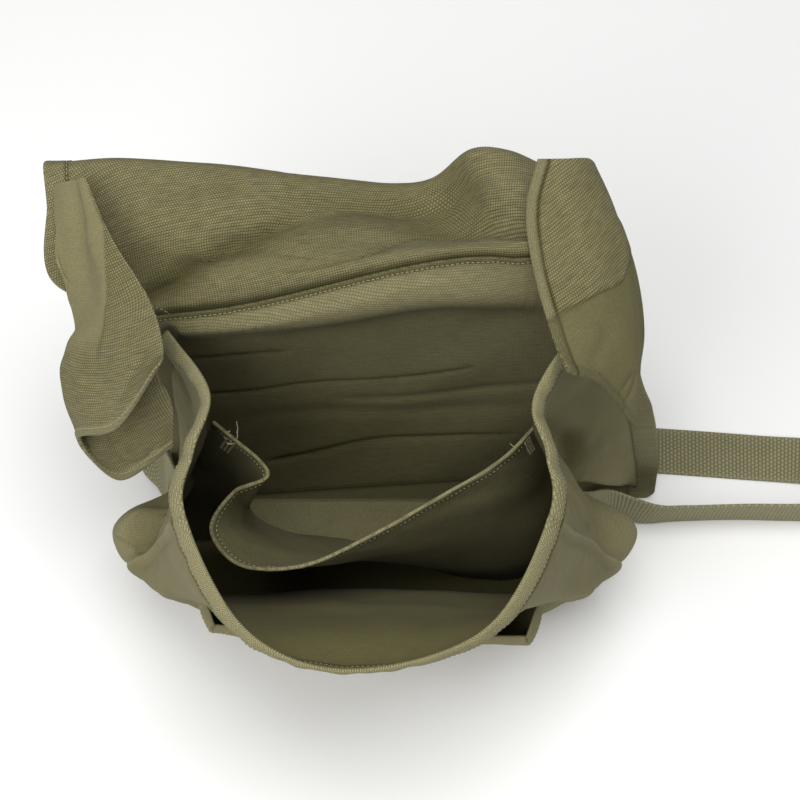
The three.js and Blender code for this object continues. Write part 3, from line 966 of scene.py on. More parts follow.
@dataclass
class Stitching:
    """Lines of separate stitches, each a short thread that rises from the cloth and dips in at its ends."""

    name: str
    pitch: float = 2.7
    length: float = 2.0
    radius: float = 0.27
    sides: int = 5
    parts: list[tuple[Array, Array]] = field(default_factory=list)

    def template(self) -> tuple[Array, npt.NDArray[np.int64]]:
        """One stitch along x: five rings, narrow at the ends, on a low arch, closed at both ends.

        Returns:
            The points, for a stitch of half length 1 and radius 1, and the faces.
        """
        place = np.array([-1.0, -0.8, 0.0, 0.8, 1.0])
        width = np.array([0.35, 0.85, 1.0, 0.85, 0.35])
        arch = np.array([-1.0, -0.1, 0.5, -0.1, -1.0])
        turn = np.arange(self.sides) * 2 * np.pi / self.sides
        ring = np.stack([np.zeros(self.sides), np.cos(turn), np.sin(turn)], -1)
        points = ring[None] * width[:, None, None]
        points[..., 0] = place[:, None]
        points[..., 2] += arch[:, None]
        number = np.arange(len(place) * self.sides).reshape(-1, self.sides)
        after = np.roll(number, -1, 1)
        walls = np.stack([number[:-1], number[1:], after[1:], after[:-1]], -1).reshape(-1, 4)
        first, last = number[0], number[-1]
        caps = np.stack([first[[0, 1, 2, 3]], first[[0, 3, 4, 4]], last[[3, 2, 1, 0]], last[[4, 3, 0, 0]]])
        return points.reshape(-1, 3), np.concatenate([walls, caps])

    def run(self, sheet: Sheet, path: Array, face: Face) -> None:
        """Sews a line along a path on a face of a sheet.

        Args:
            sheet: The cloth.
            path: Points of the line in the sheet's parameters.
            face: The face that the stitches show on.
        """
        fine = spline(path, np.linspace(0, 1, 60 * len(path)))
        line, _ = sheet.place_on(fine[:, 0], fine[:, 1], face)
        run = arc(line)
        centre = np.arange(0.5 * self.pitch, run[-1] - 0.4 * self.pitch, self.pitch)
        place = resample(centre, run, fine)
        self.sew(sheet, place, np.gradient(place, axis=0), face)

    def sew(self, sheet: Sheet, place: Array, way: Array, face: Face) -> None:
        """Adds stitches at places of a sheet's parameters, each along its own way."""
        way = unit(way) * 1e-3
        centre, normal = sheet.place_on(place[:, 0], place[:, 1], face)
        ahead, _ = sheet.place_on(*np.clip(place + way, 0, 1).T, face)
        behind, _ = sheet.place_on(*np.clip(place - way, 0, 1).T, face)
        self.add(centre, ahead - behind, normal)

    def add(self, centre: Array, along: Array, normal: Array) -> None:
        """Adds stitches at points, each along a direction and standing up along a normal.

        Args:
            centre: Middle points on the cloth.
            along: Directions of the stitches.
            normal: Directions off the cloth.
        """
        along = unit(along - normal * np.sum(along * normal, -1, keepdims=True))
        side = np.cross(normal, along)
        frames = np.stack([along * self.length / 2, side * self.radius, normal * self.radius], 1)
        points, faces = self.template()
        placed = np.einsum("pk,nkc->npc", points, frames) + centre[:, None, :]
        numbers = faces[None] + (np.arange(len(centre)) * len(points))[:, None, None]
        self.parts.append((placed.reshape(-1, 3), numbers.reshape(-1, 4)))

    def tail(self, points: Array) -> None:
        """Adds a loose thread through points: short overlapping lengths along their spline."""
        line = spline(points, np.linspace(0, 1, 40 * len(points)))
        run = arc(line)
        centre = resample(np.arange(0, run[-1], 0.4 * self.length), run, line)
        along = unit(np.gradient(centre, axis=0))
        normal = unit(np.cross(along, np.array([0.3, 0.5, 0.8])))
        self.add(centre, along, normal)

    def build(self, material: bpy.types.Material) -> bpy.types.Object:
        """Makes one mesh of all the stitches."""
        starts = np.cumsum([0] + [len(points) for points, _ in self.parts])
        vertices = np.concatenate([points for points, _ in self.parts])
        faces = np.concatenate([faces + start for (_, faces), start in zip(self.parts, starts)])
        return mesh_object(self.name, vertices, faces, material)


@dataclass(frozen=True)
class SeamLine:
    """Stitches inside an edge: their distance in millimetres, the share of the edge, and the faces."""

    edge: Edge
    inset: float
    start: float = 0.01
    end: float = 0.99
    faces: tuple[Face, ...] = (Face.OUTER,)


# Sub-assemblies


@dataclass
class BackAndFlap:
    """Back panel and flap: one run of cross-rows from the floor up over the top and down behind."""

    rows: tuple[tuple[float, ...], ...] = (
        # z, y, left, right, tilt_y, tilt_z, dip, lift, droop_left, droop_right
        (0.4, 40, -146, 152, 0, 0, 0, 0, 0, 0),
        (45, 42, -147, 150, 0, 0, 0, 0, 0, 0),
        (88, 42, -147, 144, 0, 0, 0, 0, 0, 0),
        (112, 41, -146, 139, 1, 2, 0, 0, 0, 0),
        (138, 40, -146, 134, 2, 4, 0, 0, 0, 0),
        (180, 38, -144, 128, 6, 10, 0, 0, 0, 0),
        (250, 35, -142, 112, 18, 22, -24, 18, 0, 14),
        (272, 58, -195, 110, 14, 14, 4, 2, 30, 18),
        (280, 84, -196, 100, 8, 0, 14, 8, 14, 24),
        (268, 110, -198, 96, 0, -4, 18, 8, 4, 20),
        (160, 124, -186, 108, 0, 0, 4, 4, 0, 0),
        (5, 126, -170, 126, 0, 0, 0, 0, 0, 0),
    )
    points_across: int = 15
    seam_row: int = 6
    lap: float = 0.0145
    tucked: float = 9.0
    turned: float = 0.6
    hem_width: float = 15.0
    hem_stitch: float = 13.0
    edge_hem: float = 8.0
    edge_stitch: float = 3.0
    flange_out: float = 6.5
    flange_round: float = 7.0
    flange_levels: Span = (0.5, 0.85)
    flange_pale: Span = (7.0, 13.0)
    sewn_strip: Span = (9.0, 16.0)
    pale_levels: tuple[Span, Span] = ((0.7, 0.82), (0.925, 0.965))
    rim_width: float = 2.2
    sag_at: Span = (0.12, 0.66)
    lift_at: Span = (0.69, 0.78)
    left_droop_at: Span = (0.0, 0.24)
    right_droop_at: Span = (0.84, 1.0)
    # place and reach of a spot of painted light on the flap
    lit_spot_at: Span = (0.84, 0.28)
    lit_spot_reach: Span = (0.09, 0.15)
    back_folds: tuple[Crease, ...] = (
        # path, depth, width, sharp, step, hold
        Crease(((-0.05, 0.86), (0.08, 0.857), (0.18, 0.865), (0.29, 0.865)), 2.4, 2.4, 0.8, 1.2, crease_shade=0.35),
        Crease(
            ((0.06, 0.65), (0.127, 0.659), (0.293, 0.706), (0.507, 0.746), (0.667, 0.794)),
            3.0, 2.4, 0.8, 1.6, crease_shade=0.45,
        ),
        Crease(
            ((0.2, 0.17), (0.24, 0.19), (0.38, 0.254), (0.52, 0.286), (0.733, 0.317)),
            2.8, 3.0, 0.7, 1.6, crease_shade=0.45,
        ),
        Crease(((0.35, 0.6), (0.5, 0.62), (0.7, 0.67), (0.86, 0.71)), 1.2, 5.0),
        Crease(((0.15, 0.46), (0.35, 0.5), (0.55, 0.5), (0.8, 0.54)), 1.4, 9.0),
        Crease(
            (
                (-0.05, 0.975), (0.15, 0.97), (0.35, 0.956), (0.5, 0.953),
                (0.65, 0.946), (0.8, 0.936), (1.05, 0.933),
            ),
            -9.0, 15.0, hold=0.6,
        ),
    )
    flap_folds: tuple[Crease, ...] = (
        # path, depth, width, sharp, step, hold
        Crease(
            ((-0.02, 0.1), (0.12, 0.121), (0.233, 0.163), (0.38, 0.247), (0.48, 0.35)),
            9.0, 7.0, 0.4, crease_shade=0.65,
        ),
        Crease(
            (
                (0.38, 0.25), (0.513, 0.384), (0.6, 0.421), (0.68, 0.4),
                (0.74, 0.28), (0.807, 0.19), (0.87, 0.12),
            ),
            13.0, 19.0, 0.2, hold=0.3, crease_shade=0.35,
        ),
        Crease(((0.4, 0.16), (0.507, 0.242), (0.587, 0.258), (0.7, 0.2)), -3.0, 11.0),
        Crease(
            ((0.33, 0.09), (0.42, 0.079), (0.54, 0.132), (0.66, 0.23), (0.72, 0.16)),
            2.4, 3.0, 0.7, crease_shade=0.3,
        ),
        Crease(((0.05, 0.23), (0.2, 0.29), (0.34, 0.4), (0.45, 0.5)), -2.5, 11.0),
        Crease(((0.92, 0.36), (0.87, 0.22), (0.87, 0.04)), 6.0, 9.0, 0.3, crease_shade=0.15),
    )

    def __post_init__(self) -> None:
        """Lofts the common surface, whose normal points to the front."""
        columns = np.array(self.rows).T[..., None]
        z, y, left, right, tilt_y, tilt_z, dip, lift, droop_left, droop_right = columns
        u = np.linspace(0, 1, self.points_across)[None]
        sag = dip * ramp(*self.sag_at, u) - (dip + lift) * ramp(*self.lift_at, u)
        droop = droop_left * (1 - ramp(*self.left_droop_at, u)) + droop_right * ramp(*self.right_droop_at, u)
        x = mix(left, right, u)
        rows = np.stack([x, y + tilt_y * (u - 0.5), z + tilt_z * (u - 0.5) - sag - droop], -1)
        self.surface = Loft(rows)
        self.seam = self.seam_row / (len(self.rows) - 1)

    def width(self, row: int) -> float:
        """Width of the cloth at a row."""
        return self.rows[row][3] - self.rows[row][2]

    def back_panel(self) -> Sheet:
        """Back panel from the floor to the seam under the flap, with its lying creases."""
        u = lines(count=150, length=285, reach=0.8)
        v = lines(count=168, length=262, marks=(-self.edge_stitch, -self.edge_hem), reach=0.8)
        points = self.surface(*np.meshgrid(u, v * self.seam))
        hem = Hem(self.edge_hem, outer=0.25, inner=0.0)
        sheet = Sheet("map_case_back", u, v, points, hems={Edge.TOP: hem})
        free = sheet.inside(26, (Edge.LEFT, Edge.RIGHT, Edge.TOP))
        flange = 1 - ramp(0, FLANGE + 2, sheet.distance(Edge.RIGHT))
        flange = flange * (1 - ramp(*self.flange_levels, v[:, None]))
        rounding = self.flange_round * (1 - np.sqrt(np.clip(sheet.height / self.flange_round, 0, 1)))
        sheet.points[..., 0] += (self.flange_out - rounding) * flange
        sheet.rumple(amount=0.5, wave=60, seed=1, mask=free)
        left, right = (ramp(*self.sewn_strip, sheet.distance(edge)) for edge in (Edge.LEFT, Edge.RIGHT))
        loose = left * right
        sheet.crease(self.back_folds, loose * ramp(1, 12, sheet.distance(Edge.TOP)))
        # painted light: paler bands high on the back panel; the flange strip is paler too
        top = sum(0.3 * ramp(*span, v) for span in self.pale_levels)
        sheet.wear_and_light = top[:, None] + 0.9 * (1 - ramp(*self.flange_pale, sheet.distance(Edge.RIGHT)))
        sheet.pucker(Edge.TOP, amount=0.22, wave=14, reach=9, seed=11)
        sheet.turn_hems()
        # painted shadow along the top edge, under the flap's fold: less pale and darker
        rim = bell(sheet.distance(Edge.TOP), self.rim_width)
        sheet.wear_and_light = sheet.wear_and_light * (1 - 0.8 * rim)
        sheet.paint_shade(0.5 * rim)
        sheet.groove(Edge.TOP, self.edge_stitch)
        return sheet

    def flap(self) -> Sheet:
        """Flap from its lap behind the back panel, over the top and down behind, with its hems and folds."""
        near, far = (self.hem_width, self.hem_stitch), (-self.hem_width, -self.hem_stitch)
        u = lines(count=140, length=300, marks=(*near, *far), reach=1.4)
        v = lines(count=176, length=370, marks=far, reach=1.4)
        across, along = np.meshgrid(u, mix(self.seam - self.lap, 1, v))
        points = offset(self.surface, across, along, -(CLOTH + GAP))
        hem = Hem(self.hem_width, self.turned, self.turned)
        sheet = Sheet("map_case_flap", u, v, points, hems={Edge.RIGHT: hem, Edge.TOP: hem, Edge.LEFT: hem})
        free = ramp(14, 40, sheet.distance(Edge.FOOT)) * sheet.inside(20, (Edge.LEFT, Edge.RIGHT))
        sheet.rumple(amount=0.7, wave=70, seed=2, mask=free)
        sheet.crease(self.flap_folds, ramp(8, 24, sheet.distance(Edge.FOOT)))
        sheet.pucker(Edge.LEFT, amount=0.3, wave=16, reach=18, seed=21)
        # painted light: a paler spot on the flap's right part, which tilts away from the light
        sheet.wear_and_light = 0.7 * sheet.spot(self.lit_spot_at, self.lit_spot_reach)
        # painted shadow along the flap's foot, under its fold over the back panel
        sheet.paint_shade(0.8 * (1 - ramp(self.tucked, self.tucked + 6, sheet.distance(Edge.FOOT))))
        sheet.turn_hems()
        for edge in sheet.hems:
            sheet.groove(edge, self.hem_stitch)
        return sheet


@dataclass
class Body:
    """Front panel, gussets and bottom: level rows of an outline from the back left round to the right."""

    back: BackAndFlap
    rows: tuple[tuple[float, ...], ...] = (
        # z, rim, centre, fold, fold_y, side, side_y, corner, corner_y, quarter, quarter_y, front_x, front_y
        (0.4, 0, -18, 124, 8, 110, -22, 92, -42, 56, -36, 0, -30),
        (45, 0, -20, 126, 10, 124, -24, 105, -57, 68, -50, 0, -46),
        (88, 0, -20, 118, 6, 153, -28, 120, -69, 78, -69, 0, -66),
        (112, 0, -19, 110, 4, 127, -30, 124, -77, 79, -82, 0, -80),
        (138, 0, -18, 104, 0, 114, -33, 118, -81, 78, -98, -2, -99),
        (180, 0, -18, 93, -6, 101, -40, 106, -84, 69, -124, -5, -132),
        (220, 16, -18, 85, -18, 91, -52, 93, -84, 60, -141, -8, -160),
    )
    rim_share: tuple[float, ...] = (0.95, 0.6, 0.1, -0.8, -1.25)
    left_corner: float = 0.3
    right_corner: float = 0.7
    lapped: float = 0.0016
    swing: float = 0.05
    swing_out: Span = (0.0, 0.4)
    swing_back: Span = (0.62, 1.0)
    bulge: float = 6.5
    bulge_reach: float = 30.0
    lean: float = 5.0
    lean_levels: Span = (0.5, 0.95)
    # painted shade on the inner faces of the panels, inside the bag
    inner_shade: float = 0.45
    foot_lift: float = 0.55
    foot_levels: Span = (0.0, 0.03)
    seam_below_mouth: Span = (4.0, 20.0)
    seam_shade: float = 0.85
    pocket_shade: float = 0.75
    pocket_blur: Span = (0.005, 0.04)
    behind_pocket: tuple[float, float, float] = (0.36, 0.635, 0.46)
    mouth_back: float = 0.965
    hem_width: float = 7.5
    hem_stitch: float = 6.8
    hem_groove: float = 8.7
    bottom_turn: Path = ((33.0, 0.8), (37.2, 2.6), (38.2, 8.0), (38.9, 18.0))
    bottom_slant: float = 2.2
    bottom_slant_from: float = 0.34
    bottom_slant_limits: Span = (0.5, 1.7)
    bottom_span: Span = (0.03, 0.97)
    bottom_columns: int = 90
    curl_reach: float = 12.0
    curl_in: float = 5.5
    knob: Span = (0.784, 0.38)
    knob_reach: Span = (0.2, 0.1)
    left_folds: tuple[Crease, ...] = (
        # path, depth, width, sharp, step, hold
        Crease(((0.74, 0.62), (0.8, 0.54), (0.87, 0.47), (0.95, 0.42)), 9.0, 8.0, 0.2, crease_shade=0.3),
        Crease(((0.62, 0.5), (0.7, 0.44), (0.79, 0.41), (0.86, 0.38)), -4.0, 6.0),
        Crease(
            ((0.36, 0.37), (0.46, 0.39), (0.57, 0.425), (0.67, 0.48), (0.74, 0.53)),
            12.0, 9.0, crease_shade=0.15,
        ),
        Crease(((-0.1, 0.94), (0.02, 0.88), (0.1, 0.838), (0.2, 0.79)), 4.0, 6.0, 0.2),
        Crease(((0.1, 0.7), (0.14, 0.5), (0.3, 0.42), (0.5, 0.43)), 3.0, 4.0, 0.5),
        Crease(((0.25, 0.8), (0.27, 0.66), (0.4, 0.56)), 2.2, 5.0),
    )
    right_folds: tuple[Crease, ...] = (
        # path, depth, width, sharp, step, hold
        Crease(
            ((0.58, 0.33), (0.678, 0.285), (0.811, 0.2), (0.956, 0.108), (1.06, 0.02)),
            0.0, 2.6, 0.0, 11.0, 0.9,
        ),
        Crease(((0.66, 0.95), (0.67, 0.7), (0.667, 0.45), (0.66, 0.3)), 6.0, 8.0, 0.3, crease_shade=0.35),
        Crease(((0.24, 0.8), (0.2, 0.69), (0.09, 0.6)), 4.0, 7.0),
        Crease(((0.55, 0.8), (0.45, 0.68), (0.38, 0.52)), -3.0, 9.0),
        Crease(((0.86, 0.62), (0.9, 0.4), (0.93, 0.25)), 1.6, 5.0),
        Crease(((0.75, 0.8), (0.78, 0.6), (0.76, 0.45)), -1.5, 8.0),
    )
    front_folds: tuple[Crease, ...] = (
        # path, depth, width, sharp, step, hold
        Crease(((0.12, 0.8), (0.16, 0.62), (0.22, 0.45)), 2.0, 9.0),
        Crease(((0.9, 0.82), (0.86, 0.62), (0.8, 0.45)), 2.0, 9.0),
        Crease(((0.3, 0.72), (0.5, 0.66), (0.72, 0.73)), 1.2, 12.0),
        Crease(((0.04, 0.6), (0.09, 0.5), (0.13, 0.36)), 2.2, 5.0, 0.3),
        Crease(((0.96, 0.62), (0.92, 0.5), (0.88, 0.38)), 2.2, 5.0, 0.3),
    )

    def __post_init__(self) -> None:
        """Lofts the common surface, whose normal points outwards."""
        self.surface = Loft(np.stack([self._outline(level) for level in range(len(self.rows))]))

    def _outline(self, level: int) -> Array:
        """Eleven points of a level: on the back panel, fold, side, corner, quarter, front, and mirrored."""
        z, rim, centre, *sides, front_x, front_y = self.rows[level]
        half, depth = np.array(sides, float).reshape(4, 2).T
        t = level / (len(self.rows) - 1) * self.back.seam * self.mouth_back
        inset = FLANGE / self.back.width(level)
        ends = offset(self.back.surface, np.array([inset, 1 - inset]), np.full(2, t), CLOTH + GAP)
        rise = z + rim * np.array(self.rim_share)
        left = np.stack([centre - half, depth, rise[:4]], -1)
        right = np.stack([centre + half, depth, rise[:4]], -1)[::-1]
        front = np.array([[centre + front_x, front_y, rise[4]]])
        return np.concatenate([ends[:1], left, front, right, ends[1:]])

    def corner(self, level: Array, left: bool) -> Array:
        """Outline parameter of a corner seam at each level; at mid height it swings towards the side."""
        swing = self.swing * ramp(*self.swing_out, level) * (1 - ramp(*self.swing_back, level))
        return self.left_corner - swing if left else self.right_corner + swing

    def panel(self, name: str, start: Array, end: Array, levels: Array, count: int, width: float) -> Sheet:
        """One panel of the body with the rolled hem of the mouth.

        Args:
            name: Name of the panel.
            start: Outline parameter of its first edge at each level.
            end: Outline parameter of its last edge at each level.
            levels: The levels, from the floor to the mouth.
            count: Number of even columns.
            width: Its width in millimetres.

        Returns:
            The panel, rolled in at the mouth, not yet creased or hemmed.
        """
        u = lines(count, width, reach=0.8)
        s = mix(start[:, None], end[:, None], u[None])
        hem = Hem(self.hem_width, outer=0.8, inner=0.3, round=0.35, cord=1.0)
        sheet = Sheet(name, u, levels, self.surface(s, levels[:, None]), hems={Edge.TOP: hem}, inner_shade=self.inner_shade)
        sheet.points[..., 0] -= self.lean * ramp(*self.lean_levels, levels)[:, None] * np.sin(np.pi * s)
        sheet.points[..., 2] += self.foot_lift * (1 - ramp(*self.foot_levels, levels))[:, None]
        sheet.push(self.bulge * bell(sheet.distance(Edge.TOP), self.bulge_reach))
        sheet.curl(Edge.TOP, self.curl_reach, self.curl_in)
        return sheet

    def join(self, sheet: Sheet, seam: Edge, seed: int) -> None:
        """Gathers and raises a panel along a corner seam, which is flat at the mouth."""
        sheet.pucker(seam, amount=0.18, wave=15, reach=16, seed=seed)
        sheet.ridge(seam, height=2.2, width=2.2, mask=ramp(*self.seam_below_mouth, sheet.distance(Edge.TOP)))

    def levels(self) -> Array:
        """Levels of the panels' rows, closer at the hem's sewn line."""
        return lines(count=170, length=235, marks=(-self.hem_width, -self.hem_groove), reach=2.0)

    def front(self) -> Sheet:
        """Front panel between the two corner seams."""
        v = self.levels()
        start, end = self.corner(v, True), self.corner(v, False)
        sheet = self.panel("map_case_front", start - self.lapped, end + self.lapped, v, count=150, width=250)
        # painted shade on the outer face of the front panel behind the pocket
        left, right, mouth = self.behind_pocket
        side, top = self.pocket_blur
        s = mix(start[:, None], end[:, None], sheet.u[None])
        hidden = ramp(left - side, left + side, s) * (1 - ramp(right - side, right + side, s))
        sheet.outer_shade = self.pocket_shade * hidden * (1 - ramp(mouth - top, mouth + top, v))[:, None]
        sheet.rumple(amount=0.6, wave=55, seed=3, mask=sheet.inside(16))
        sheet.crease(self.front_folds, sheet.inside(10))
        sheet.pucker(Edge.TOP, amount=0.35, wave=17, reach=14, seed=13)
        for edge in (Edge.LEFT, Edge.RIGHT):
            self.join(sheet, edge, 17)
        sheet.turn_hems()
        sheet.groove(Edge.TOP, self.hem_groove, depth=0.6)
        return sheet

    def gusset(self, left: bool) -> Sheet:
        """Left or right gusset, from the back panel to its corner seam."""
        v = self.levels()
        if left:
            name, start, end = "map_case_left_gusset", 0 * v, self.corner(v, True)
            sewn, seam, folds = Edge.LEFT, Edge.RIGHT, self.left_folds
        else:
            name, start, end = "map_case_right_gusset", self.corner(v, False), 0 * v + 1
            sewn, seam, folds = Edge.RIGHT, Edge.LEFT, self.right_folds
        sheet = self.panel(name, start, end, v, count=90, width=130)
        sheet.rumple(amount=0.7, wave=42, seed=4 if left else 5, mask=sheet.inside(14))
        sheet.crease(folds, sheet.inside(7, (seam, Edge.TOP, Edge.FOOT)))
        sheet.pucker(Edge.TOP, amount=0.35, wave=17, reach=14, seed=14)
        self.join(sheet, seam, 18)
        # painted light: a paler top on the side's bulge, where light falls on it
        apex = self.knob[0] if left else 1 - self.knob[0]
        sheet.wear_and_light = 0.9 * sheet.spot((apex, self.knob[1]), self.knob_reach)
        sheet.paint_shade(self.seam_shade * bell(sheet.distance(sewn), 1.4))
        sheet.turn_hems()
        sheet.groove(Edge.TOP, self.hem_groove, depth=0.6)
        return sheet

    def bottom(self) -> Sheet:
        """Bottom panel: flat from the foot of the walls to the back, where it turns up the back panel.

        Each column is a spline from the walls' outline through two points on the straight line to the back
        edge and then up the back panel.
        """
        u = np.linspace(*self.bottom_span, self.bottom_columns)
        v = lines(count=70, length=115, marks=(-self.bottom_turn[-1][1] + 3.0,), reach=0.8)
        rim = offset(self.surface, u, np.zeros_like(u), -0.3)
        rim[:, 2] = CLOTH / 2
        ends = offset(self.surface, np.array([0.0, 1.0]), np.zeros(2), -(CLOTH / 2 + GAP))
        across = mix(ends[0, 0], ends[1, 0], u)
        slant = np.clip(1 + self.bottom_slant * (u - self.bottom_slant_from), *self.bottom_slant_limits)
        turn = [
            np.stack([across, np.full_like(u, y), z * mix(1, slant, ramp(2, 9, z))], -1)
            for y, z in self.bottom_turn
        ]
        rows = [rim, mix(rim, turn[0], 0.35), mix(rim, turn[0], 0.7), *turn]
        even = np.linspace(0, 1, len(u))
        points = Loft(np.stack(rows))(even[None], v[:, None])
        sheet = Sheet("map_case_bottom", even, v, points)
        # painted shade: dark in front of the divider, and a dark line along the upturned edge
        sheet.paint_shade(0.72 * (1 - ramp(-4, 8, points[..., 1])))
        sheet.paint_shade(0.9 * bell(sheet.distance(Edge.TOP), 3))
        # painted light: paler behind the divider
        sheet.wear_and_light = 0.6 * ramp(4, 20, points[..., 1])
        sheet.turn_hems()
        return sheet


@dataclass
class Divider:
    """The sheet across the inside, sewn to the gusset folds, with an S-shaped rim."""

    body: Body
    rim: tuple[Point, ...] = (
        (-110, -8, 183),
        (-77, -40, 186),
        (-95, -51, 184),
        (-107, -72, 181),
        (-91, -91, 176),
        (-57, -90, 173),
        (-20, -72, 174),
        (18, -50, 178),
        (50, -31, 182),
        (74, -8, 183),
    )
    foot: float = 0.016
    top: float = 0.842
    foot_left_y: float = 2.0
    foot_right_y: float = -14.0
    foot_turn: Span = (0.35, 0.75)
    slack_turn: Span = (0.35, 0.85)
    foot_shade: float = 0.94
    left_shade: float = 0.26
    neck: tuple[Point, ...] = ((26.0, -6.0, 0.0), (12.0, 1.0, 0.0))
    fold_at: Span = (0.1, 0.9)
    follow: float = 0.2
    hem_width: float = 7.0
    hem_stitch: float = 5.5
    back_slack: float = 6.0
    front_slack: float = 6.0
    folds: tuple[Crease, ...] = (
        # path, depth, width, sharp, step, hold
        Crease(((0.16, 0.98), (0.17, 0.8), (0.19, 0.5)), 2.0, 6.0),
        Crease(((0.35, 0.9), (0.42, 0.75), (0.5, 0.5)), 1.4, 10.0),
        Crease(((0.6, 0.94), (0.66, 0.8), (0.68, 0.55)), -1.4, 12.0),
    )

    def sheet(self) -> Sheet:
        """Ruled from the foot line to the rim; near its sides it is drawn to the gusset folds."""
        u = lines(count=150, length=300, reach=1.1)
        v = lines(count=90, length=185, marks=(-self.hem_width, -self.hem_stitch), reach=1.1)
        across, up = np.meshgrid(u, v)
        level = mix(self.foot, self.top, up)
        edges = [offset(self.body.surface, 0 * level + s, level, -(CLOTH + GAP)) for s in self.fold_at]
        left, right = (edge[0, 0] for edge in edges)
        rim = np.array(self.rim, float)
        plain = rim.copy()
        plain[1:3] -= self.neck

        def ruled(w: Array) -> Array:
            """Straight lines from foot to rim; the rim's neck builds up as the cube of the height."""
            foot_y = mix(self.foot_left_y, self.foot_right_y, ramp(*self.foot_turn, w))
            low = np.stack([mix(left[0], right[0], w), foot_y, left[2] + 0 * w], -1)
            crest = spline(plain, w)
            return mix(low, crest, up[..., None]) + (spline(rim, w) - crest) * up[..., None] ** 3

        points = ruled(across)
        ends = (np.zeros_like(across), np.ones_like(across))
        for edge, end in zip(edges, ends):
            near = (1 - np.minimum(np.abs(across - end) / self.follow, 1)) ** 2
            points = points + (edge - ruled(end)) * near[..., None]
        hem = Hem(self.hem_width, outer=0.3, inner=0.3)
        sheet = Sheet("map_case_divider", u, v, points, hems={Edge.TOP: hem})
        slack = mix(self.back_slack, -self.front_slack, ramp(*self.slack_turn, across))
        sheet.push(-slack * (1 - up**3) * sheet.inside(34, (Edge.LEFT, Edge.RIGHT)))
        sheet.rumple(amount=0.5, wave=50, seed=6, mask=sheet.inside(20))
        sheet.crease(self.folds, sheet.inside(8, (Edge.LEFT, Edge.RIGHT)))
        sheet.pucker(Edge.TOP, amount=0.3, wave=14, reach=10, seed=19)
        sheet.paint_shade(self.foot_shade * (1 - ramp(0.03, 0.2, up)) * ramp(0.5, 0.65, across))
        sheet.paint_shade(self.left_shade * (1 - ramp(0.3, 0.6, across)))
        # painted light: paler low on the left part, like the bottom panel behind it
        sheet.wear_and_light = 0.6 * (1 - ramp(0.1, 0.7, up)) * (1 - ramp(0.45, 0.65, across))
        sheet.turn_hems()
        sheet.groove(Edge.TOP, self.hem_stitch)
        return sheet


@dataclass
class FrontPocket:
    """Low patch pocket on the front: it stands off the front panel between its sewn sides and foot."""

    body: Body
    left: float = 0.36
    right: float = 0.635
    foot: float = 0.025
    mouth: float = 0.49
    depth: float = 24.0
    left_side: float = 0.05
    right_side: float = 0.07
    flatter: float = 0.3
    fill: float = 0.7
    foot_share: float = 0.12
    # painted shade on the pocket's inner face, in its dark opening
    inner_shade: float = 0.7
    hem_width: float = 9.0
    hem_stitch: float = 7.0
    side_stitch: float = 3.0

    def sheet(self) -> Sheet:
        """The pocket's cloth: the front panel's surface, at a depth that builds up from its sewn edges."""
        u = lines(count=120, length=205, reach=0.8)
        v = lines(count=60, length=110, marks=(-self.hem_width,), reach=1.0)
        across, up = np.meshgrid(u, v)
        sides = ramp(0, self.left_side, across) * ramp(0, self.right_side, 1 - across)
        rise = np.sin(np.pi / 2 * np.minimum(up / self.fill, 1))
        flattened = mix(1 - self.flatter, 1, ramp(0, 0.4, across))
        depth = self.depth * sides * mix(self.foot_share, 1, rise) * flattened
        s, level = mix(self.left, self.right, across), mix(self.foot, self.mouth, up)
        points = offset(self.body.surface, s, level, CLOTH + GAP + depth)
        hem = Hem(self.hem_width, outer=0.35, inner=0.2, round=0.2, cord=0.6)
        sheet = Sheet("map_case_front_pocket", u, v, points, hems={Edge.TOP: hem}, inner_shade=self.inner_shade)
        sheet.curl(Edge.TOP, reach=11, amount=5)
        sheet.rumple(amount=0.5, wave=45, seed=9, mask=sheet.inside(14))
        sheet.pucker(Edge.TOP, amount=0.4, wave=19, reach=14, seed=20)
        sheet.turn_hems()
        return sheet


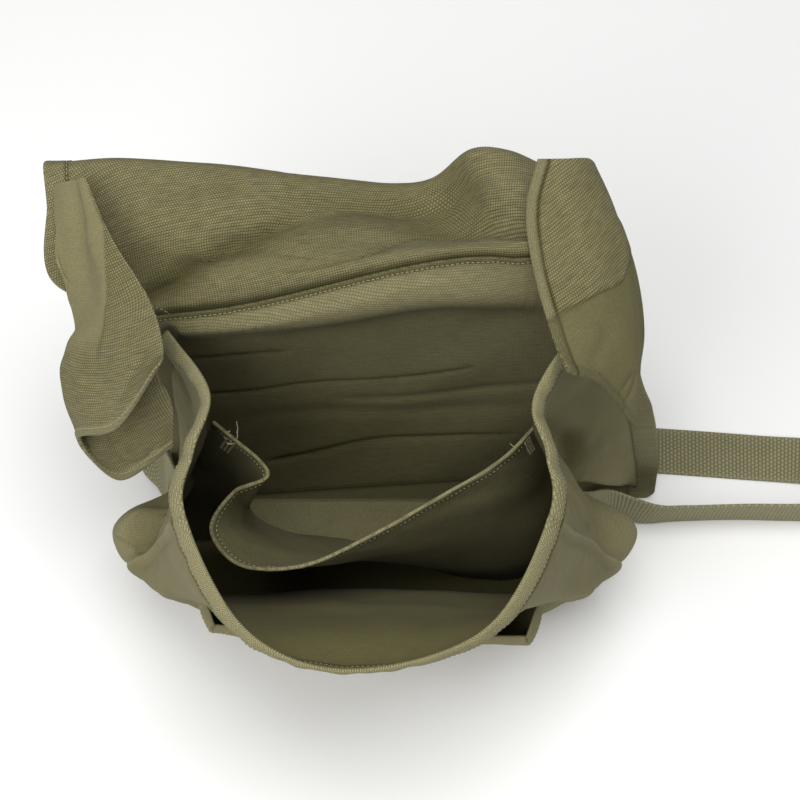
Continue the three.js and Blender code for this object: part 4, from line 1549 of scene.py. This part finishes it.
@dataclass
class Ears:
    """The folded side wings: rows from the flap's edge round a fold to the front and the free edge."""

    back: BackAndFlap
    left_sewn: Path = ((0.02, 0.755),)
    left_rows: tuple[tuple[Point, ...], ...] = (
        ((-184, 85, 281), (-177, 82, 287), (-174, 80, 291), (-171, 79, 293)),
        ((-190, 69, 263), (-182, 60, 265), (-171, 55, 269), (-167, 47, 281), (-155, 44, 286)),
        ((-184, 43, 251), (-182, 34, 239), (-172, 26, 247), (-156, 16, 266), (-135, 14, 276)),
        ((-134, 2, 208), (-172, -2, 196), (-188, 4, 218), (-156, -11, 244), (-128, -6, 262)),
        ((-131, -14, 168), (-163, -26, 150), (-181, -20, 186), (-155, -29, 216), (-130, -9, 250)),
    )
    right_sewn: Path = ((0.975, 0.782), (0.975, 0.72))
    right_rows: tuple[tuple[Point, ...], ...] = (
        ((98, 92, 284), (94, 86, 300), (81, 80, 308), (67, 82, 305)),
        ((107, 68, 281), (104, 58, 288), (86, 52, 297), (61, 60, 292)),
        ((114, 54, 274), (116, 46, 271), (112, 34, 270), (93, 27, 280), (64, 35, 277)),
        ((127, 26, 228), (124, 13, 222), (121, 9, 238), (100, 5, 255), (74, 4, 258)),
        ((122, 4, 188), (123, -8, 186), (121, -15, 196), (101, -12, 232), (83, -14, 248)),
    )
    hem_width: float = 6.0
    hem_stitch: float = 4.8
    step_line: float = 1.1
    step_blur: Span = (-0.005, 0.005)
    left_step: Path = ((0.97, 0.2), (0.8, 0.375), (0.7, 0.5), (0.686, 0.65), (0.686, 0.8), (0.7, 1.0))
    left_folds: tuple[Crease, ...] = (
        # path, depth, width, sharp, step, hold
        Crease(((0.25, 0.82), (0.2, 0.94), (0.14, 0.97), (0.05, 0.94)), 1.4, 2.0, 0.6),
        Crease(((0.9, 0.75), (0.8, 0.84), (0.72, 0.93)), 1.4, 4.0, 0.3),
        Crease(((0.95, 0.4), (0.88, 0.5), (0.86, 0.62)), 1.2, 6.0),
        Crease(((0.6, 0.7), (0.62, 0.8), (0.66, 0.9)), 1.4, 5.0),
    )
    right_step: Path = ((0.0, 0.49), (0.4, 0.5), (0.55, 0.53), (0.717, 0.575), (1.0, 0.7))
    right_folds: tuple[Crease, ...] = (
        # path, depth, width, sharp, step, hold
        Crease(((0.633, 0.97), (0.58, 0.9), (0.533, 0.838)), 1.8, 2.4, 0.6),
        Crease(((0.5, 0.83), (0.53, 0.9), (0.6, 1.0)), 1.6, 2.4, 0.6),
        Crease(((0.9, 0.2), (0.84, 0.35), (0.86, 0.5)), 1.5, 5.0),
        Crease(((0.7, 0.7), (0.75, 0.82), (0.82, 0.93)), 1.2, 5.0),
    )

    def _surface(self, sewn: Path, rows: tuple[tuple[Point, ...], ...]) -> Loft:
        """Loft through the rows; a sewn row starts on the front face of the flap's turned edge."""
        edge = np.array(sewn)
        start = offset(self.back.surface, edge[:, 0], edge[:, 1], self.back.turned)
        whole = [np.array(row, float) for row in rows]
        for index, point in enumerate(start):
            whole[index] = np.concatenate([point[None], whole[index]])
        return Loft(np.stack(whole))

    def left(self) -> Sheet:
        """Left ear; the strip from its fold to the step line is a plain doubled edge."""
        width = 130
        u = lines(count=132, length=width, reach=0.9)
        v = lines(count=100, length=150, marks=(-self.hem_width,), reach=0.9)
        surface = self._surface(self.left_sewn, self.left_rows)
        hem = Hem(self.hem_width, outer=0.5, inner=0.5, round=0.3, cord=1.0)
        sheet = Sheet("map_case_left_ear", u, v, surface(*np.meshgrid(u, v)), hems={Edge.TOP: hem})
        step = np.interp(v, *np.array(self.left_step).T[::-1])[:, None]
        sheet.smooth = (1 - ramp(*self.step_blur, u[None] - step)) * (1 - ramp(0.58, 0.72, v)[:, None])
        # painted shade: a dark line along the step, and darker coarse cloth above the lower part
        line = bell((u[None] - step) * width, self.step_line) * (1 - ramp(0.66, 0.76, v)[:, None])
        sheet.paint_shade(0.3 * line)
        sheet.paint_shade(0.14 * (1 - sheet.smooth) * (1 - ramp(0.45, 0.65, v))[:, None])
        sheet.rumple(amount=0.6, wave=36, seed=7, mask=sheet.inside(12))
        sheet.crease((Crease(self.left_step, depth=0.0, width=1.6, step=-0.6, hold=1.0), *self.left_folds))
        sheet.turn_hems()
        return sheet

    def right(self) -> Sheet:
        """Right ear; its cloth past the step line is plain, with painted shade where it faces away from the
        light.
        """
        height = 140
        u = lines(count=90, length=85, marks=(-self.hem_width,), reach=0.9)
        v = lines(count=160, length=height, marks=(-self.hem_width,), reach=0.9)
        surface = self._surface(self.right_sewn, self.right_rows)
        hem = Hem(self.hem_width, outer=0.6, inner=0.5, round=0.5, cord=1.0)
        hems = {Edge.TOP: hem, Edge.RIGHT: hem}
        sheet = Sheet("map_case_right_ear", u, v, surface(*np.meshgrid(u, v)), hems=hems, turn=30)
        step = np.interp(u, *np.array(self.right_step).T)[None]
        sheet.smooth = ramp(*self.step_blur, v[:, None] - step)
        # painted shade on the plain cloth past the step, and a dark line of painted shade along the step
        sheet.paint_shade(0.4 * sheet.smooth)
        sheet.paint_shade(0.5 * bell((v[:, None] - step) * height, self.step_line))
        sheet.rumple(amount=0.5, wave=36, seed=8, mask=sheet.inside(12))
        sheet.crease((Crease(self.right_step, depth=0.0, width=1.4, step=-1.2, hold=1.0), *self.right_folds))
        sheet.turn_hems()
        sheet.groove(Edge.RIGHT, self.hem_width + 0.8, depth=0.3)
        return sheet


@dataclass
class Strap:
    """Webbing strap: one band from the left gusset, behind the bag and round a turn to the right one."""

    body: Body
    width: float = 33.0
    thick: float = 2.2
    step: float = 3.8
    half_level: float = 0.062
    cord: float = 2.4
    cord_height: float = 0.16
    rubbed_end: Span = (0.08, 0.12)
    # painted light: from this share along the band on, the lower strand is paler
    lit_strand: Span = (0.66, 0.74)
    rows_along: int = 1281
    end_stitch: float = 3.0
    far_stitch: float = 24.0
    sewn_left: Path = ((0.077, 0.25), (0.066, 0.235))
    sewn_right: Path = ((0.955, 0.095), (0.925, 0.15), (0.9, 0.2))
    rows: tuple[tuple[Point, Point], ...] = (
        # middle of the band, direction that its face looks
        ((-150, 31, 46), (-1, 0, 0)),
        ((-157, 47, 31), (-1, 0.1, 0)),
        ((-161, 64, 21), (-0.7, 0.5, 0.4)),
        ((-144, 79, 10), (-0.2, 0.5, 0.9)),
        ((-112, 82, 3.4), (0, 0.1, 1)),
        ((-60, 81, 1.6), (0, 0, 1)),
        ((40, 78, 1.6), (0, 0, 1)),
        ((140, 75, 1.6), (0, 0, 1)),
        ((230, 68, 1.6), (0, 0, 1)),
        ((268, 64, 3.6), (0, 0.1, 1)),
        ((292, 55, 9.5), (0.4, 0.3, 0.85)),
        ((299, 41, 16), (0.9, 0, 0.4)),
        ((288, 27, 17.6), (0.5, -0.9, 0)),
        ((262, 21, 17.2), (0.05, -1, -0.15)),
        ((210, 21, 17.2), (0, -0.98, -0.2)),
        ((174, 20, 17.2), (0, -0.98, -0.2)),
        ((152, 19, 18.5), (0.1, -0.98, -0.15)),
    )

    def _sewn(self, ends: Path, share: Array) -> Array:
        """Bands of points that lie on a gusset at outline parameters and levels."""
        s, level = np.array(ends).T[..., None]
        return offset(self.body.surface, s + 0 * share, level + share * self.half_level, self.step)

    def surface(self) -> Loft:
        """Loft through bands of five points; a free band lies square to its path and its face."""
        share = np.array([-1, -0.5, 0, 0.5, 1])
        left, right = (self._sewn(ends, share) for ends in (self.sewn_left, self.sewn_right))
        middle = np.array([row[0] for row in self.rows], float)
        faces = np.array([row[1] for row in self.rows], float)
        path = np.concatenate([left[-1:, 2], middle, right[:1, 2]])
        wide = unit(np.cross(path[2:] - path[:-2], faces)) * self.width / 2
        free = middle[:, None] + wide[:, None] * share[None, :, None]
        return Loft(np.concatenate([left, free, right]))

    def sheet(self) -> Sheet:
        """The band, with its cords across as shallow ridges, flatter and paler near its left end and on its
        lower strand, whose paleness is painted light.
        """
        u = lines(count=14, length=self.width, reach=1.1)
        v = np.linspace(0, 1, self.rows_along)
        points = self.surface()(*np.meshgrid(u, v))
        sheet = Sheet("map_case_strap", u, v, points, half=self.thick / 2 - 0.1, straight=True)
        # paler and flatter near the left end, and painted light on the lower strand
        flat_and_lit = np.maximum(ramp(*self.lit_strand, v), 1 - ramp(*self.rubbed_end, v))[:, None]
        sheet.wear_and_light = np.repeat(flat_and_lit, len(u), 1)
        sheet.turn_hems()
        ridge = (np.abs(np.sin(np.pi * sheet.height / self.cord)) - 0.5) * (1 - 0.6 * flat_and_lit)
        swell = self.cord_height * ridge * sheet.inside(1.5, (Edge.LEFT, Edge.RIGHT))
        sheet.outer += swell
        sheet.inner += swell
        return sheet


# The whole


@dataclass(frozen=True)
class SoftBox:
    """A square soft box: its place and side in metres, its power in watts, and the point it faces."""

    name: str
    place: Point
    power: float
    side: float = 1.1
    aim: Point = (0.0, 0.0, 0.1)

    def build(self) -> None:
        """Puts the light in the scene."""
        data = bpy.data.lights.new(self.name, "AREA")
        data.size, data.energy = self.side, self.power
        box = bpy.data.objects.new(self.name, data)
        box.location = self.place
        way = np.array(self.aim) - np.array(self.place)
        flat = math.hypot(way[0], way[1])
        box.rotation_euler = (math.atan2(flat, -way[2]), 0, math.atan2(way[1], way[0]) - math.pi / 2)
        bpy.context.scene.collection.objects.link(box)


@dataclass(frozen=True)
class Studio:
    """Camera, floor and soft light."""

    eye: Point = (-0.005, -0.55, 1.14763)
    tilt: float = 30.0
    lens: float = 90.0
    sensor: float = 36.0
    sky: float = 0.3
    floor_half: float = 6000.0
    floor_colour: Rgb = (0.96, 0.96, 0.955)
    boxes: tuple[SoftBox, ...] = (
        SoftBox("top_box", (0.1, -0.2, 2.0), 25.0),
        SoftBox("front_box", (-0.75, -0.95, 1.35), 15.5),
    )

    def build(self) -> None:
        """Sets the camera, a pale floor, an even sky and two soft boxes."""
        scene = bpy.context.scene
        data = bpy.data.cameras.new("photo_camera")
        data.lens, data.sensor_width = self.lens, self.sensor
        data.clip_start = 0.05
        camera = bpy.data.objects.new("photo_camera", data)
        camera.location = self.eye
        camera.rotation_euler = (math.radians(self.tilt), 0, 0)
        scene.collection.objects.link(camera)
        scene.camera = camera
        scene.view_settings.view_transform = "Standard"
        self._floor()
        self._surroundings()
        for box in self.boxes:
            box.build()

    def _floor(self) -> None:
        """Pale floor, a wide flat square."""
        corners = np.array([[-1.0, -1, 0], [1, -1, 0], [1, 1, 0], [-1, 1, 0]]) * self.floor_half
        paint = bpy.data.materials.new("pale_floor")
        paint.use_nodes = True
        shader = paint.node_tree.nodes["Principled BSDF"]
        shader.inputs["Base Color"].default_value = (*self.floor_colour, 1)
        shader.inputs["Roughness"].default_value = 0.9
        mesh_object("pale_floor", corners, np.array([[0, 1, 2, 3]]), paint)

    def _surroundings(self) -> None:
        """Even white sky."""
        world = bpy.data.worlds.new("studio")
        world.use_nodes = True
        background = world.node_tree.nodes["Background"]
        background.inputs["Color"].default_value = (1, 1, 1, 1)
        background.inputs["Strength"].default_value = self.sky
        bpy.context.scene.world = world


class MapCase:
    """The whole bag: builds the sub-assemblies in order and sews them."""

    both = (Face.OUTER, Face.INNER)
    mouth = (SeamLine(Edge.TOP, Body.hem_stitch, faces=both),)
    dull = ("front_panel", "left_gusset", "right_gusset")
    hangs_from = {
        "flap": ("back_panel",),
        "left_ear": ("flap",),
        "right_ear": ("flap",),
        "shoulder_strap": ("left_gusset", "right_gusset"),
    }
    seams: dict[str, tuple[SeamLine, ...]] = {
        "back_panel": (SeamLine(Edge.TOP, BackAndFlap.edge_stitch),),
        "flap": (
            SeamLine(Edge.LEFT, BackAndFlap.hem_stitch, faces=both),
            SeamLine(Edge.RIGHT, BackAndFlap.hem_stitch, faces=both),
            SeamLine(Edge.TOP, BackAndFlap.hem_stitch, 0.05, 0.95, both),
        ),
        "front_panel": mouth,
        "left_gusset": mouth,
        "right_gusset": mouth,
        "divider": (SeamLine(Edge.TOP, Divider.hem_stitch, faces=both),),
        "front_pocket": (
            SeamLine(Edge.TOP, FrontPocket.hem_stitch),
            SeamLine(Edge.LEFT, FrontPocket.side_stitch),
            SeamLine(Edge.RIGHT, FrontPocket.side_stitch),
        ),
        "left_ear": (SeamLine(Edge.TOP, Ears.hem_stitch, faces=both),),
        "right_ear": (SeamLine(Edge.TOP, Ears.hem_stitch, faces=(Face.INNER,)),),
        "shoulder_strap": (
            SeamLine(Edge.FOOT, Strap.end_stitch, 0.1, 0.9),
            SeamLine(Edge.TOP, Strap.end_stitch, 0.1, 0.9),
            SeamLine(Edge.TOP, Strap.far_stitch, 0.1, 0.9),
        ),
    }

    def __init__(self, finishes: Finishes) -> None:
        """Keeps the finishes."""
        self.finishes = finishes

    def build(self) -> None:
        """Builds every piece."""
        look = self.finishes
        back = BackAndFlap()
        body = Body(back)
        sheets = {
            "back_panel": (back.back_panel(), look.inner_canvas, (0.29, 0.262), "stretched"),
            "flap": (back.flap(), look.open_canvas, (0.305, 0.37), "hung"),
            "front_panel": (body.front(), look.plain_canvas, (0.25, 0.235), "stretched"),
            "left_gusset": (body.gusset(True), look.plain_canvas, (0.13, 0.24), "folded"),
            "right_gusset": (body.gusset(False), look.plain_canvas, (0.15, 0.24), "folded"),
            "bottom_panel": (body.bottom(), look.plain_canvas, (0.26, 0.08), "laid"),
            "divider": (Divider(body).sheet(), look.inner_canvas, (0.28, 0.185), "stretched"),
            "front_pocket": (FrontPocket(body).sheet(), look.plain_canvas, (0.205, 0.11), "stretched"),
            "left_ear": (Ears(back).left(), look.open_canvas, (0.13, 0.12), "folded"),
            "right_ear": (Ears(back).right(), look.open_canvas, (0.075, 0.14), "folded"),
            "shoulder_strap": (Strap(body).sheet(), look.webbing, (0.032, 0.77), "laid"),
        }
        for node, (sheet, material, flat, held) in sheets.items():
            slot = Slot.WEBBING if node == "shoulder_strap" else Slot.CANVAS
            piece = settle(sheet.build(material), slot, node)
            sewn = self._sew(node, sheet)
            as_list(self.hangs_from.get(node, ()))

    def _sew(self, node: str, sheet: Sheet) -> list[bpy.types.Object]:
        """Stitches of one sheet, as one piece that goes with it.

        Args:
            node: Name of the solid that the sheet stands for.
            sheet: The cloth.

        Returns:
            The piece of stitches in a list, or an empty list where nothing shows.
        """
        if node not in self.seams:
            return []
        thread = Stitching(f"{sheet.name}_stitches")
        for line in self.seams[node]:
            for face in line.faces:
                thread.run(sheet, sheet.track(line.edge, line.inset, line.start, line.end), face)
        if node == "divider":
            self._tie_off(thread, sheet)
        finish = self.finishes.hem_thread if node in self.dull else self.finishes.thread
        return [settle(thread.build(finish), Slot.CANVAS)]

    @staticmethod
    def _tie_off(thread: Stitching, sheet: Sheet) -> None:
        """Bar tacks at the two ends of the divider's rim, with loose curls of thread."""
        rng = np.random.default_rng(SEED)
        for u, side in ((0.035, 1), (0.955, -1)):
            run = np.linspace(0.9, 0.985, 12)
            way = np.tile([1.0, 0.25], (len(run), 1))
            for shift in (-0.006, 0.0, 0.006):
                place = np.stack([np.full_like(run, u + shift), run], -1)
                for face in (Face.INNER, Face.OUTER):
                    thread.sew(sheet, place, way, face)
            root, _ = sheet.place_on(np.array([u]), np.array([0.97]), Face.INNER)
            for _ in range(3):
                wander = np.cumsum(rng.normal(0, 1.7, (6, 3)) + [0.2 * side, 0.2, 0.7], 0)
                thread.tail(np.concatenate([root, root + wander]))


def main() -> None:
    """Loads the frame, builds the studio and the bag."""
    logging.basicConfig(level=logging.INFO, format="%(name)s %(message)s")
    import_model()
    Studio().build()
    MapCase(Finishes()).build()


if __name__ == "__main__":
    main()
